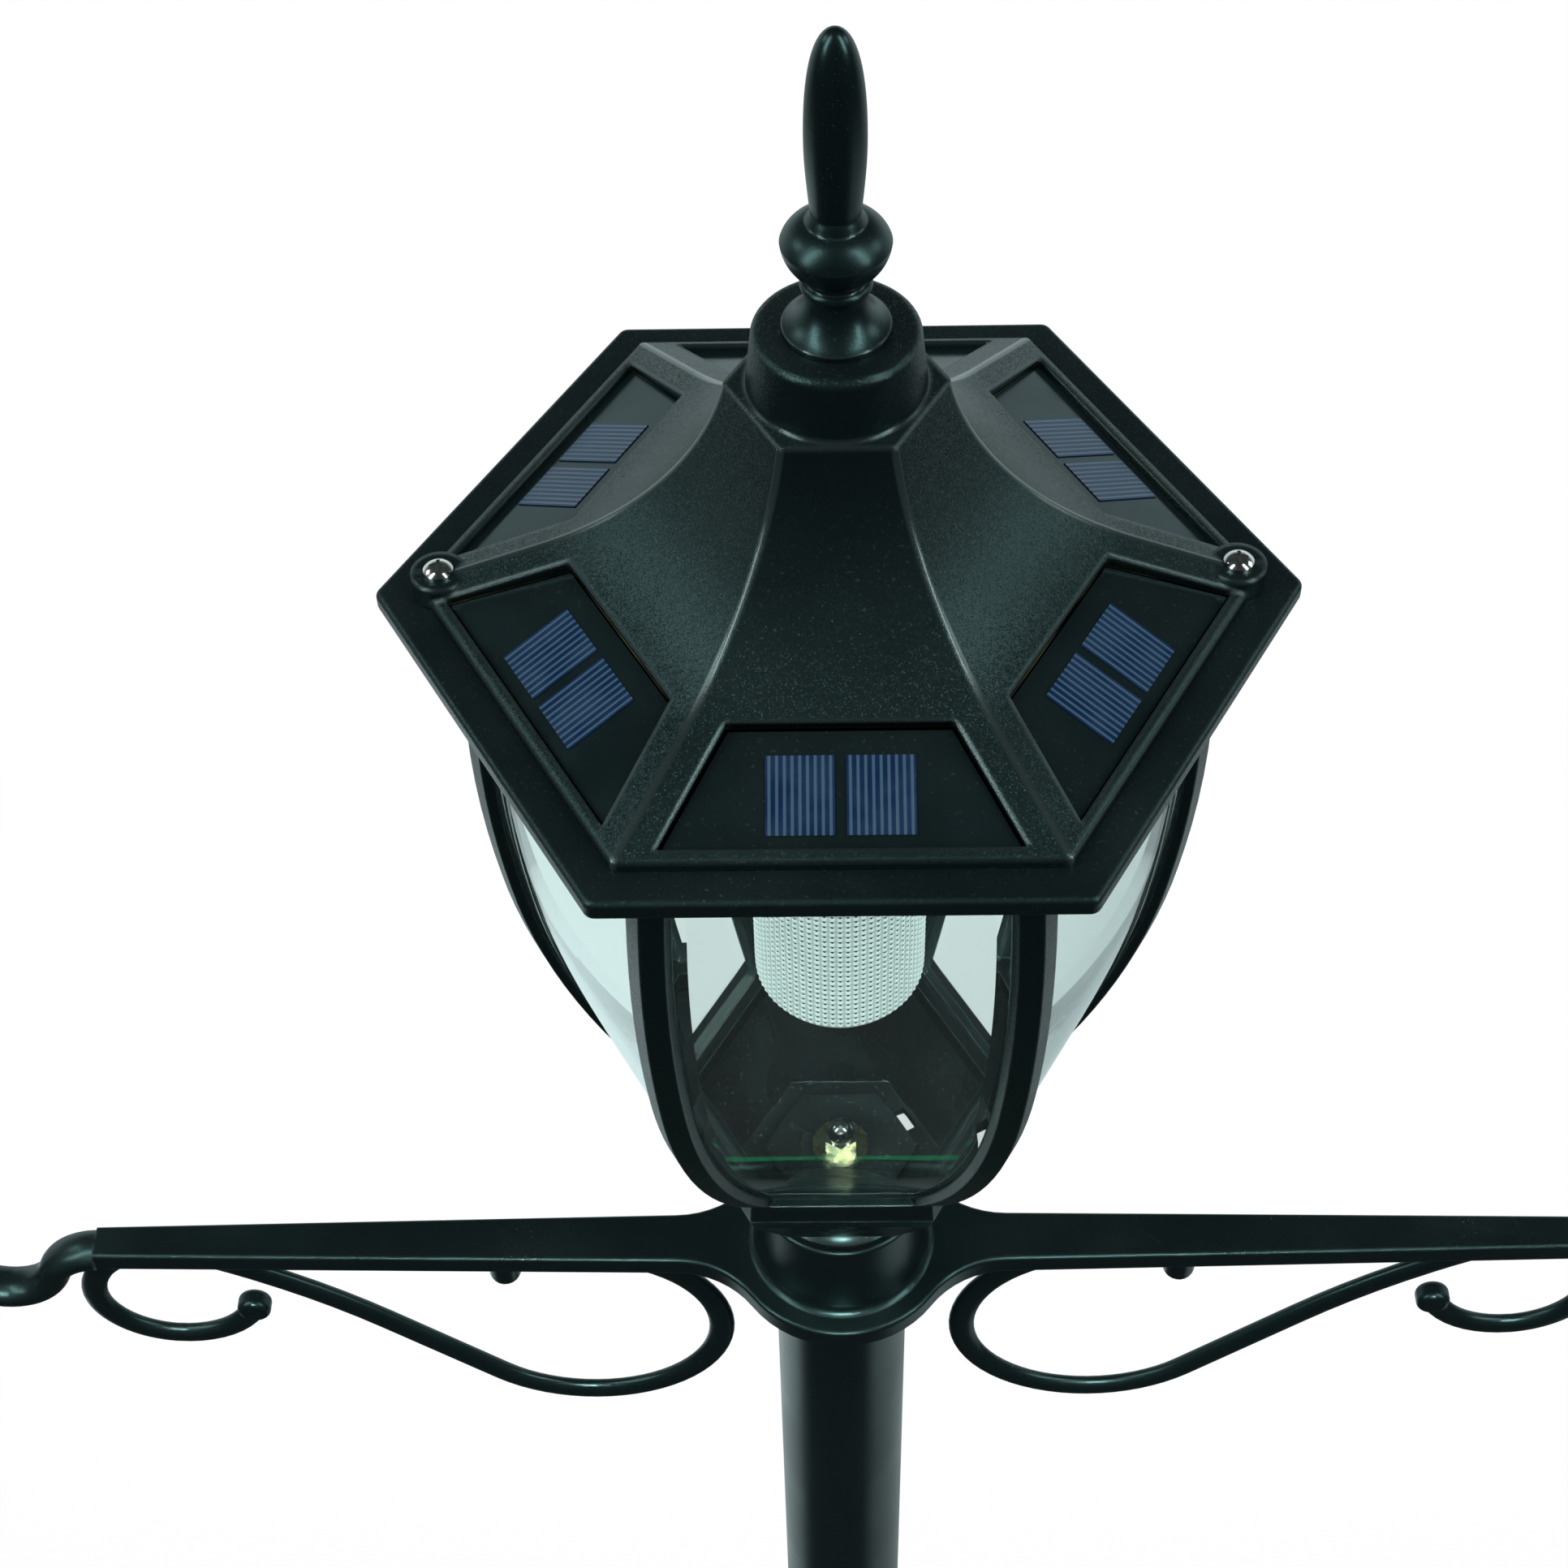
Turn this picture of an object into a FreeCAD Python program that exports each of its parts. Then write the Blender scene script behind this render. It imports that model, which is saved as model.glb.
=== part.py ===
import FreeCAD, Part
import math
import os
import re

import Sketcher
from FreeCAD import Placement, Rotation, Vector

# Solar lamp post: a six-sided lantern with solar cells in its roof, a double hanger arm and a round post.
# Millimetres, Z up, base on Z = 0, arms along X, front towards -Y.
# Every six-sided piece is drawn once on the facet that faces +Y; its "apothem" is the distance from
# the axis to a flat, so a corner stands at apothem / cos(30).

SIZES = {
    # post and base
    "post_diameter": 46,
    "post_wall": 2,
    "post_top": 1290,
    "base_diameter": 270,
    "base_edge": 9,
    "base_floor": 6,
    "base_collar_diameter": 66,
    "base_height": 62,
    "base_sweep": 110,
    "base_band": 16,
    "base_round": 3,
    "anchor_circle": 220,
    "anchor_hole": 9,
    # hub and arms
    "hub_lip": 4,
    "hub_recess": 3,
    "hub_recess_radius": 25.6,
    "hub_radius": 28.5,
    "hub_boss": 35,
    "hub_flange_radius": 38.5,
    "hub_step": 4,
    "hub_round": 1.5,
    "hub_web_radius": 20.2,
    "arm_thickness": 10,
    "arm_root_width": 21,
    "arm_tip_width": 12.6,
    "arm_reach": 260,
    "arm_flare": 34,
    "arm_round": 3,
    "hook_run": 35,
    "hook_drop": 24.5,
    "hook_rise": 110,
    "hook_width": 15,
    "hook_depth": 11.6,
    "peg_x": 118.5,
    "peg_radius": 5.6,
    "peg_drop": 14,
    "peg_round": 3.4,
    # scroll, measured from the centre of the arm
    "scroll_width": 9.2,
    "scroll_depth": 5.6,
    "scroll_big_x": 92,
    "scroll_big_radius": 48.6,
    "scroll_big_drop": 54,
    "scroll_small_inset": 21.8,
    "scroll_small_radius": 28.5,
    "scroll_small_drop": 30,
    "scroll_climb": 45,
    "scroll_entry": 29,
    "scroll_end": 19,
    "scroll_boss_diameter": 12,
    "scroll_boss_depth": 8,
    "scroll_boss_round": 2.6,
    # base cup of the lantern
    "neck_height": 17,
    "neck_radius": 19.5,
    "neck_foot": 25.2,
    "spigot_radius": 18.6,
    "spigot_drop": 16,
    "cup_floor": 4,
    "cup_depth": 30.5,
    "cup_ring": 6,
    "cup_wall": 4.4,
    "cup_top_apothem": 49.2,
    "cup_ring_apothem": 47.6,
    "cup_floor_apothem": 30,
    "cup_corner": 1.5,
    "cup_pad_apothem": 22,
    "cup_pad": 3,
    "drain_length": 9,
    "drain_width": 4.6,
    "drain_radius": 24.9,
    # lantern cage
    "cage_height": 229.5,
    "cage_wall": 3,
    "cage_top_apothem": 84.4,
    "cage_knee_apothem": 85.2,
    "cage_knee": 116,
    "cage_foot_apothem": 48.5,
    "cage_foot": 7.5,
    "cage_foot_inner": 40,
    "cage_side_radius": 440,
    "cage_bend_radius": 250,
    "cage_leg": 6.6,
    "cage_sill": 3,
    "rim_apothem": 104,
    "rim_height": 6,
    "rim_round": 1.6,
    "rim_corner": 3,
    # glass
    "pane_thickness": 3.4,
    "pane_play": 0.4,
    "pane_side": 3,
    # roof
    "lip_apothem": 94,
    "lip_height": 3,
    "roof_slope": 24.9,
    "roof_straight": 31.2,
    "roof_wall": 6.5,
    "roof_top_wall": 4,
    "hip_round": 1.2,
    "lip_round": 1.2,
    "ledge_apothem": 23.7,
    "ledge_height": 69.5,
    "collar_radius": 22,
    "collar_top_radius": 20.4,
    "collar_height": 16.5,
    "collar_round": 2,
    "ear_place": 102.5,
    "ear_radius": 7.3,
    "ear_height": 7,
    "ear_hole": 4.4,
    # solar panels
    "window_top": 35.3,
    "window_bottom": 4.3,
    "window_strip": 8.2,
    "window_depth": 2.2,
    "window_tilt": 2.4,
    "panel_thickness": 1.2,
    "panel_play": 0.3,
    "cell_width": 16.6,
    "cell_length": 20,
    "cell_gap": 2.8,
    "cell_bottom": 3.8,
    "cell_thickness": 0.3,
    # finial
    "finial_foot_radius": 13.1,
    "finial_ring_radius": 8.6,
    "finial_bead_radius": 13,
    "finial_waist_radius": 7.2,
    "finial_neck_radius": 5.9,
    "finial_spindle_radius": 7.15,
    "finial_length": 81.4,
    "finial_drawn": 82.4,
    "finial_stud_radius": 4,
    "finial_stud": 12,
    # inner parts of the head
    "plate_thickness": 2.5,
    "plate_play": 0.4,
    "plate_screw_place": 66,
    "plate_boss_radius": 4,
    "lens_radius": 25.6,
    "lens_wall": 2,
    "lens_drop": 164,
    "lens_round": 7,
    "lens_flange_radius": 32,
    "lens_flange": 2.5,
    "board_radius": 22,
    "board_thickness": 1.6,
    "led_radius": 2.5,
    "led_circle": 12,
    "battery_radius": 9.2,
    "battery_length": 65,
    "battery_y": 30,
    "holder_wall": 2,
    "holder_play": 0.6,
    "control_width": 44,
    "control_depth": 26,
    "control_y": 29,
    "control_lift": 4,
    "control_inset": 4,
    "control_post": 2.5,
    "switch_y": 56,
    "switch_length": 14,
    "switch_depth": 8,
    "switch_height": 5,
    "switch_wall": 1.4,
    "slider_length": 6.4,
    "slider_flange": 1.5,
    "slider_knob": 3.4,
    "slider_drop": 3,
    "slider_play": 0.3,
    "slider_travel": 4,
    # fasteners
    "thread_radius": 3,
    "washer_radius": 9.2,
    "washer_thickness": 1.6,
    "nut_flats": 10,
    "nut_hex": 5.5,
    "nut_dome_radius": 4.7,
    "nut_height": 12,
    "nut_grip": 7,
    "plug_depth": 26,
    "plug_thickness": 14,
    "screw_head_radius": 3.9,
    "screw_head": 2.6,
    "screw_radius": 1.9,
    "screw_length": 12,
    "tapper_radius": 1.4,
    "tapper_head_radius": 2.8,
    "tapper_head": 1.8,
    "tapper_length": 7,
    "fit": 0.15,
}

# Levels and places that follow from the sizes.
SEAT = "(post_top + hub_lip)"
HUB_TOP = f"({SEAT} + hub_recess)"
ARM_TOP = f"({HUB_TOP} - hub_boss)"
ARM_MID = f"({ARM_TOP} - arm_thickness / 2)"
ARM_BOTTOM = f"({ARM_TOP} - arm_thickness)"
FLOOR = f"({SEAT} + neck_height + cup_floor)"
PAD = f"({FLOOR} + cup_pad)"
RING = f"({FLOOR} + cup_depth)"
CAGE = f"({RING} + cup_ring)"
SILL = f"({CAGE} + cage_foot)"
RIM = f"({CAGE} + cage_height)"
PLATE_TOP = f"({RIM} + plate_thickness)"
COLLAR_TOP = f"({RIM} + ledge_height + collar_height)"
POST_RADIUS = "(post_diameter / 2)"
POST_BORE = "(post_diameter / 2 - post_wall)"

doc = FreeCAD.newDocument("lamp_post")
sheet = doc.addObject("Spreadsheet::Sheet", "sizes")
for row, (name, number) in enumerate(SIZES.items(), 1):
    sheet.set(f"A{row}", name)
    sheet.set(f"B{row}", str(number))
    sheet.setAlias(f"B{row}", name)
doc.recompute()


def formula(text):
    """Points each size name of a formula at its cell."""
    return re.sub(r"[a-z][a-z_]+", lambda m: f"sizes.{m[0]}" if m[0] in SIZES else m[0], str(text))


def number(text):
    """The present value of a formula."""
    return float(sheet.evalExpression(formula(text)))


def new_body(label, several=False):
    body = doc.addObject("PartDesign::Body", label)
    body.Label = label
    body.AllowCompound = several
    return body


def origin(body, role):
    return next(item for item in body.Origin.OriginFeatures if item.Role == role)


def new_sketch(body, role="XY_Plane", lift=None):
    """A sketch on one of the body's own origin planes, lifted off it where a level is given."""
    sketch = body.newObject("Sketcher::SketchObject", f"{body.Label}_sketch")
    sketch.AttachmentSupport = [(origin(body, role), "")]
    sketch.MapMode = "FlatFace"
    if lift is not None:
        sketch.setExpression("AttachmentOffset.Base.z", formula(lift))
    return sketch


def pin(sketch, geometry, end, x, y):
    """Ties a point to the sketch's origin by its two coordinates."""
    for kind, axis, text in (("DistanceX", -2, x), ("DistanceY", -1, y)):
        if str(text) == "0":
            sketch.addConstraint(Sketcher.Constraint("PointOnObject", geometry, end, axis))
            continue
        size = number(text)
        ends = (-1, 1, geometry, end) if size > 0 else (geometry, end, -1, 1)
        row = sketch.addConstraint(Sketcher.Constraint(kind, *ends, abs(size)))
        sketch.setExpression(f"Constraints[{row}]", formula(text if size > 0 else f"-({text})"))


def arc_between(start, end, radius, turn):
    """The short arc from start to end; turn is +1 for a left-hand bend and -1 for a right-hand one."""
    chord = end - start
    rise = math.sqrt(max(radius ** 2 - chord.Length ** 2 / 4, 0))
    side = Vector(-chord.y, chord.x, 0).normalize() * turn
    centre = start + chord / 2 + side * rise
    first, last = (start, end) if turn > 0 else (end, start)
    angles = [math.atan2(point.y - centre.y, point.x - centre.x) for point in (first, last)]
    if angles[1] <= angles[0]:
        angles[1] += 2 * math.pi
    return Part.ArcOfCircle(Part.Circle(centre, Vector(0, 0, 1), radius), *angles)


def draw(sketch, corners, closed=True):
    """Draws an outline of corners (x, y). A curve that leads to a corner is named after it:
    an arc by radius and turn, a free curve by its two handles.
    """
    points = [Vector(number(c[0]), number(c[1]), 0) for c in corners]
    steps = range(len(corners)) if closed else range(1, len(corners))
    edges = []
    for i in steps:
        corner = corners[i]
        if len(corner) == 2:
            index = sketch.addGeometry(Part.LineSegment(points[i - 1], points[i]), False)
            edges.append((index, 1, 2))
            continue
        if len(corner) == 3:
            handles = [Vector(number(x), number(y), 0) for x, y in corner[2]]
            curve = Part.BSplineCurve()
            curve.buildFromPolesMultsKnots([points[i - 1], *handles, points[i]], [4, 4], [0, 1], False, 3)
            index = sketch.addGeometry(curve, False)
            edges.append((index, 1, 2))
            sketch.exposeInternalGeometry(index)
            for place, handle in enumerate(corner[2], 2):
                pin(sketch, index + place, 3, *handle)
            continue
        bend = arc_between(points[i - 1], points[i], number(corner[2]), corner[3])
        index = sketch.addGeometry(bend, False)
        edges.append((index, 1, 2) if corner[3] > 0 else (index, 2, 1))
        row = sketch.addConstraint(Sketcher.Constraint("Radius", index, number(corner[2])))
        sketch.setExpression(f"Constraints[{row}]", formula(corner[2]))
    for (a, _, a_end), (b, b_start, _) in zip(edges, edges[1:] + edges[:1] if closed else edges[1:]):
        sketch.addConstraint(Sketcher.Constraint("Coincident", a, a_end, b, b_start))
    if not closed:
        pin(sketch, edges[0][0], edges[0][1], *corners[0][:2])
    for i, (index, _, end) in zip(steps, edges):
        pin(sketch, index, end, *corners[i][:2])
    return sketch


def circle(sketch, x, y, radius):
    centre = Vector(number(x), number(y), 0)
    index = sketch.addGeometry(Part.Circle(centre, Vector(0, 0, 1), number(radius)), False)
    row = sketch.addConstraint(Sketcher.Constraint("Radius", index, number(radius)))
    sketch.setExpression(f"Constraints[{row}]", formula(radius))
    pin(sketch, index, 3, x, y)
    return sketch


def rectangle(sketch, x, y, width, depth):
    """A rectangle about the centre (x, y)."""
    left, right = f"({x}) - ({width}) / 2", f"({x}) + ({width}) / 2"
    low, high = f"({y}) - ({depth}) / 2", f"({y}) + ({depth}) / 2"
    return draw(sketch, [(left, low), (right, low), (right, high), (left, high)])


def oval(sketch, x, y, width, height):
    """An upright or lying oval about the centre (x, y)."""
    across, up = number(width) / 2, number(height) / 2
    centre = Vector(number(x), number(y), 0)
    along, aside = Vector(across, 0, 0), Vector(0, up, 0)
    if up > across:
        along, aside = aside, along * -1
    index = sketch.addGeometry(Part.Ellipse(centre + along, centre + aside, centre), False)
    sketch.exposeInternalGeometry(index)
    sketch.addConstraint(Sketcher.Constraint("Vertical" if up > across else "Horizontal", index + 1))
    longer, shorter = (height, width) if up > across else (width, height)
    for line, size in ((index + 1, longer), (index + 2, shorter)):
        row = sketch.addConstraint(Sketcher.Constraint("Distance", line, number(size)))
        sketch.setExpression(f"Constraints[{row}]", formula(size))
    pin(sketch, index, 3, x, y)
    return sketch


def feature(body, kind, sketch, **settings):
    item = body.newObject(f"PartDesign::{kind}", f"{body.Label}_{kind.lower()}")
    item.Profile = (sketch, [""])
    for key, setting in settings.items():
        setattr(item, key, setting)
    sketch.Visibility = False
    return item


def pad(body, sketch, length, **settings):
    item = feature(body, "Pad", sketch, **settings)
    item.setExpression("Length", formula(length))
    return item


def cut(body, sketch, length=None, **settings):
    """Cuts upwards from the sketch: to the given length, or right through."""
    item = feature(body, "Pocket", sketch, Reversed=settings.pop("up", True), **settings)
    if length is None:
        item.Type = "ThroughAll"
    else:
        item.setExpression("Length", formula(length))
    return item


def turn(body, sketch, kind="Revolution"):
    """Turns a profile of radius and height about the upright axis."""
    return feature(body, kind, sketch, ReferenceAxis=(sketch, ["V_Axis"]), Angle=360)


def mitre(body, reach):
    """Trims a facet to its sixth of the hexagon."""
    for side in ("", "-"):
        far = f"{side}({reach})"
        corners = [("0", "0"), (far, "0"), (far, reach), (f"{far} * tan(30)", reach)]
        cut(body, draw(new_sketch(body), corners if side == "" else corners[::-1]))


def six(body):
    """Repeats the whole facet round the axis."""
    doc.recompute()
    item = body.newObject("PartDesign::PolarPattern", f"{body.Label}_six")
    item.TransformMode = "Whole shape"
    item.Axis = (origin(body, "Z_Axis"), [""])
    item.Angle = 360
    item.Occurrences = 6
    body.Tip = item
    doc.recompute()
    return item


def round_edges(body, radius, chosen):
    """Rounds those edges of the body so far that the test picks."""
    doc.recompute()
    base = body.Tip
    names = [f"Edge{i}" for i, edge in enumerate(base.Shape.Edges, 1) if chosen(edge)]
    item = body.newObject("PartDesign::Fillet", f"{body.Label}_fillet")
    item.Base = (base, names)
    item.setExpression("Radius", formula(radius))
    doc.recompute()
    return item


def on_level(edge, level):
    """Whether an edge lies flat on a level."""
    return all(abs(v.Z - level) < 0.01 for v in edge.Vertexes) and edge.BoundBox.ZLength < 0.01


def upright(edge):
    """Whether an edge stands straight up."""
    return edge.BoundBox.ZLength > 0.01 and max(edge.BoundBox.XLength, edge.BoundBox.YLength) < 0.01


def from_axis(point):
    """How far a point stands from the upright axis."""
    return math.hypot(point.x, point.y)


def post():
    body = new_body("post")
    wall = [(POST_BORE, "base_floor"), (POST_RADIUS, "base_floor"),
            (POST_RADIUS, "post_top"), (POST_BORE, "post_top")]
    turn(body, draw(new_sketch(body, "XZ_Plane"), wall))


def base_flange():
    body = new_body("base_flange")
    outer, collar, bore = "base_diameter / 2", "base_collar_diameter / 2", f"({POST_RADIUS} + fit)"
    profile = [("0", "0"), (outer, "0"), (outer, "base_edge"),
               (collar, "base_height - base_band", "base_sweep", -1), (collar, "base_height - base_round"),
               (f"{collar} - base_round", "base_height", "base_round", 1), (bore, "base_height"),
               (bore, "base_floor"), ("0", "base_floor")]
    turn(body, draw(new_sketch(body, "XZ_Plane"), profile))
    holes = new_sketch(body)
    for angle in range(45, 405, 90):
        x, y = (f"anchor_circle / 2 * {side}({angle})" for side in ("cos", "sin"))
        circle(holes, x, y, "anchor_hole / 2")
    cut(body, holes)


def post_plug():
    body = new_body("post_plug")
    sketch = new_sketch(body, lift="post_top - plug_depth - plug_thickness")
    pad(body, circle(sketch, "0", "0", f"{POST_BORE} - fit"), "plug_thickness")
    doc.recompute()
    cut(body, circle(new_sketch(body), "0", "0", "thread_radius + fit"))


def tie_stud():
    stud = doc.addObject("Part::Cylinder", "tie_stud")
    stud.Label = "tie_stud"
    foot = "post_top - plug_depth - plug_thickness"
    stud.setExpression("Radius", formula("thread_radius"))
    stud.setExpression("Height", formula(f"{PAD} + washer_thickness + nut_grip - ({foot})"))
    stud.setExpression("Placement.Base.z", formula(foot))


def hanger_arm():
    """Hub, both arms, hooks, pegs and scrolls as one casting."""
    body = new_body("hanger_arm")
    taper = "atan((arm_root_width - arm_tip_width) / 2 / arm_reach)"
    near = f"(arm_root_width / 2 * cos({taper}))"
    reach = "(hub_flange_radius + arm_flare)"
    out = f"sqrt({reach} ^ 2 - ({near} + arm_flare) ^ 2)"
    join = (f"({out} * cos({taper}) + {near} * sin({taper}))",
            f"({near} * cos({taper}) - {out} * sin({taper}))")
    share = f"hub_flange_radius / {reach}"
    leave = (f"({out} * cos({taper}) + ({near} + arm_flare) * sin({taper})) * {share}",
             f"(({near} + arm_flare) * cos({taper}) - {out} * sin({taper})) * {share}")
    tip = ("arm_reach", "arm_tip_width / 2")

    def flip(point, x, y):
        return (f"{x}({point[0]})", f"{y}({point[1]})")

    plan = []
    for x, y in (("", ""), ("-", "-")):
        other = "-" if x == "" else ""
        plan.append(flip(tip, x, y))
        plan.append(flip(join, x, y))
        plan.append((*flip(leave, x, y), "arm_flare", -1))
        plan.append((*flip(leave, other, y), "hub_flange_radius", 1))
        plan.append((*flip(join, other, y), "arm_flare", -1))
        plan.append(flip(tip, other, y))
    pad(body, draw(new_sketch(body, lift=ARM_BOTTOM), plan), "arm_thickness")
    doc.recompute()
    low, high = number(ARM_BOTTOM), number(ARM_TOP)
    round_edges(body, "arm_round", lambda e: on_level(e, low) and e.BoundBox.XLength > 0.01)
    round_edges(body, "arm_round / 2", lambda e: on_level(e, high) and e.BoundBox.XLength > 0.01)

    skirt = "(hub_flange_radius - hub_step * 1.6)"
    boss = [("hub_web_radius", ARM_BOTTOM), (skirt, ARM_BOTTOM), (skirt, ARM_TOP),
            ("hub_radius + hub_step / 4", f"{ARM_TOP} + hub_step", "hub_step * 1.05", -1),
            ("hub_radius", f"{HUB_TOP} - hub_round"), ("hub_radius - hub_round", HUB_TOP, "hub_round", 1),
            ("hub_recess_radius", HUB_TOP), ("hub_recess_radius", SEAT), ("hub_web_radius", SEAT)]
    turn(body, draw(new_sketch(body, "XZ_Plane"), boss))

    bend = "(2 * atan(hook_drop / hook_run))"
    curl = f"(hook_run / 2 / sin({bend}))"
    level = f"({ARM_TOP} - hook_depth / 2)"
    valley = ("(arm_reach + hook_run)", f"({level} - hook_drop)")
    outer = (f"({valley[0]} + {curl})", f"({valley[1]} + {curl})")
    hook_end = (f"({outer[0]} - {curl} + {curl} * sin(hook_rise))", f"({outer[1]} - {curl} * cos(hook_rise))")
    path = [("arm_reach", level), ("arm_reach + hook_run / 2", f"{level} - hook_drop / 2", curl, -1),
            (*valley, curl, 1), (*outer, curl, 1), (*hook_end, curl, 1)]
    hook = sweep(body, path, "arm_reach", level, "hook_width", "hook_depth")

    knob = turn_at(body, hook_end, "hook_width / 2 + 0.6")
    peg_top, peg_end, side = f"({ARM_BOTTOM} + 2)", f"({ARM_BOTTOM} - peg_drop)", "(peg_x + peg_radius)"
    half = [("peg_x", peg_end), (f"{side} - peg_round", peg_end),
            (side, f"{peg_end} + peg_round", "peg_round", 1), (side, peg_top), ("peg_x", peg_top)]
    peg = turn_about_edge(body, draw(new_sketch(body, "XZ_Plane"), half))

    big = ("scroll_big_x", f"({ARM_MID} - scroll_big_drop)")
    small = ("(arm_reach - scroll_small_inset)", f"({ARM_MID} - scroll_small_drop)")

    def round_at(centre, radius, angle):
        return (f"({centre[0]} + {radius} * cos({angle}))", f"({centre[1]} + {radius} * sin({angle}))")

    climb = round_at(big, "scroll_big_radius", "scroll_climb - 90")
    enter = round_at(small, "scroll_small_radius", "90 + scroll_entry")
    run, rise = f"({enter[0]} - {climb[0]})", f"({enter[1]} - {climb[1]})"
    ux, uy = "cos(scroll_climb)", "sin(scroll_climb)"
    wx, wy = "(sin(scroll_climb) - sin(scroll_entry))", "(cos(scroll_entry) - cos(scroll_climb))"
    scale = f"({ux} * {wy} - {uy} * {wx})"
    ease = f"(({ux} * {rise} - {uy} * {run}) / {scale})"
    straight = f"(({run} * {wy} - {rise} * {wx}) / {scale})"
    lean = (f"({climb[0]} + {straight} * {ux})", f"({climb[1]} + {straight} * {uy})")
    curl_end = round_at(small, "scroll_small_radius", "180 + scroll_end")
    path = [round_at(big, "scroll_big_radius", "90")]
    for angle in ("180", "270"):
        path.append((*round_at(big, "scroll_big_radius", angle), "scroll_big_radius", 1))
    path += [(*climb, "scroll_big_radius", 1), lean, (*enter, ease, -1)]
    for angle in ("0", "-90"):
        path.append((*round_at(small, "scroll_small_radius", angle), "scroll_small_radius", -1))
    path += [(*curl_end, "scroll_small_radius", -1)]
    scroll = sweep(body, path, *path[0], "scroll_depth", "scroll_width")
    rim, face = f"({curl_end[1]} + scroll_boss_diameter / 2)", "(scroll_boss_depth / 2)"
    shoulder, flat = f"{rim} - scroll_boss_round", f"({face} - scroll_boss_round)"
    half = [(face, curl_end[1]), (face, shoulder), (flat, rim, "scroll_boss_round", 1), (f"-{flat}", rim),
            (f"-{face}", shoulder, "scroll_boss_round", 1), (f"-{face}", curl_end[1])]
    end_boss = turn_about_edge(body, draw(new_sketch(body, "YZ_Plane", lift=curl_end[0]), half))
    doc.recompute()

    mirror = body.newObject("PartDesign::Mirrored", "hanger_arm_mirror")
    mirror.Originals = [hook, knob, peg, scroll, end_boss]
    mirror.MirrorPlane = (origin(body, "YZ_Plane"), [""])
    body.Tip = mirror
    doc.recompute()
    socket = circle(new_sketch(body, lift=ARM_BOTTOM), "0", "0", f"{POST_RADIUS} + fit")
    cut(body, socket, f"post_top - {ARM_BOTTOM}")


def sweep(body, path, x, level, width, height):
    """Sweeps an oval along a path in the upright plane of the arms; the path starts level."""
    spine = draw(new_sketch(body, "XZ_Plane"), path, closed=False)
    profile = oval(new_sketch(body, "YZ_Plane", lift=x), "0", level, width, height)
    doc.recompute()
    item = body.newObject("PartDesign::AdditivePipe", "hanger_arm_pipe")
    item.Profile = (profile, [""])
    item.Spine = (spine, [f"Edge{i}" for i in range(1, len(path))])
    item.Mode = "Binormal"
    item.Binormal = Vector(0, 1, 0)
    doc.recompute()
    return item


def turn_about_edge(body, sketch):
    """Turns an outline about the edge that closes it."""
    return feature(body, "Revolution", sketch, ReferenceAxis=(sketch, ["Edge1"]), Angle=360)


def turn_at(body, centre, radius):
    """A ball about a point in the plane of the arms."""
    sketch = new_sketch(body, "XZ_Plane")
    middle = Vector(number(centre[0]), number(centre[1]), 0)
    size = number(radius)
    ends = [middle + Vector(0, rise, 0) for rise in (size, -size)]
    ring = Part.Circle(middle, Vector(0, 0, 1), size)
    arc = sketch.addGeometry(Part.ArcOfCircle(ring, -math.pi / 2, math.pi / 2), False)
    line = sketch.addGeometry(Part.LineSegment(*ends), False)
    sketch.addConstraint(Sketcher.Constraint("Coincident", arc, 2, line, 1))
    sketch.addConstraint(Sketcher.Constraint("Coincident", line, 2, arc, 1))
    sketch.addConstraint(Sketcher.Constraint("Vertical", line))
    sketch.addConstraint(Sketcher.Constraint("PointOnObject", arc, 3, line))
    row = sketch.addConstraint(Sketcher.Constraint("Radius", arc, size))
    sketch.setExpression(f"Constraints[{row}]", formula(radius))
    pin(sketch, arc, 3, *centre)
    doc.recompute()
    return feature(body, "Revolution", sketch, ReferenceAxis=(sketch, [f"Edge{line + 1}"]), Angle=360)


def base_cup():
    body = new_body("base_cup")
    under = f"({FLOOR} - cup_floor)"
    profile = [("cup_top_apothem", CAGE), ("cup_top_apothem - cup_wall", CAGE),
               ("cup_ring_apothem - cup_wall", RING), ("cup_floor_apothem - cup_corner", FLOOR),
               ("cup_pad_apothem", FLOOR), ("cup_pad_apothem", PAD), ("0", PAD), ("0", under),
               ("cup_floor_apothem", under), ("cup_ring_apothem", RING)]
    pad(body, draw(new_sketch(body, "YZ_Plane"), profile), "cup_top_apothem * 2", Midplane=True)
    mitre(body, "cup_top_apothem * 1.2")
    six(body)
    end = f"({SEAT} - spigot_drop)"
    neck = [("thread_radius", end), ("spigot_radius", end), ("spigot_radius", SEAT),
            ("neck_foot", SEAT), ("neck_foot", f"{SEAT} + 2"), ("neck_radius", f"{SEAT} + 9", "10", -1),
            ("neck_radius + 2", f"{under} + 1"), ("thread_radius", f"{under} + 1")]
    turn(body, draw(new_sketch(body, "XZ_Plane"), neck))
    doc.recompute()
    cut(body, circle(new_sketch(body), "0", "0", "thread_radius + fit"))
    slot = []
    for out, along in (("-", "-"), ("+", "-"), ("+", ""), ("-", "")):
        reach, way = f"(drain_radius {out} drain_width / 2)", f"({along} drain_length / 2)"
        slot.append((f"{reach} * cos(30) - {way} * sin(30)", f"{reach} * sin(30) + {way} * cos(30)"))
    cut(body, draw(new_sketch(body, lift=under), slot), "cup_floor")


def washer():
    body = new_body("washer")
    sketch = circle(new_sketch(body, lift=PAD), "0", "0", "washer_radius")
    pad(body, circle(sketch, "0", "0", "thread_radius + fit * 2"), "washer_thickness")


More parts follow.
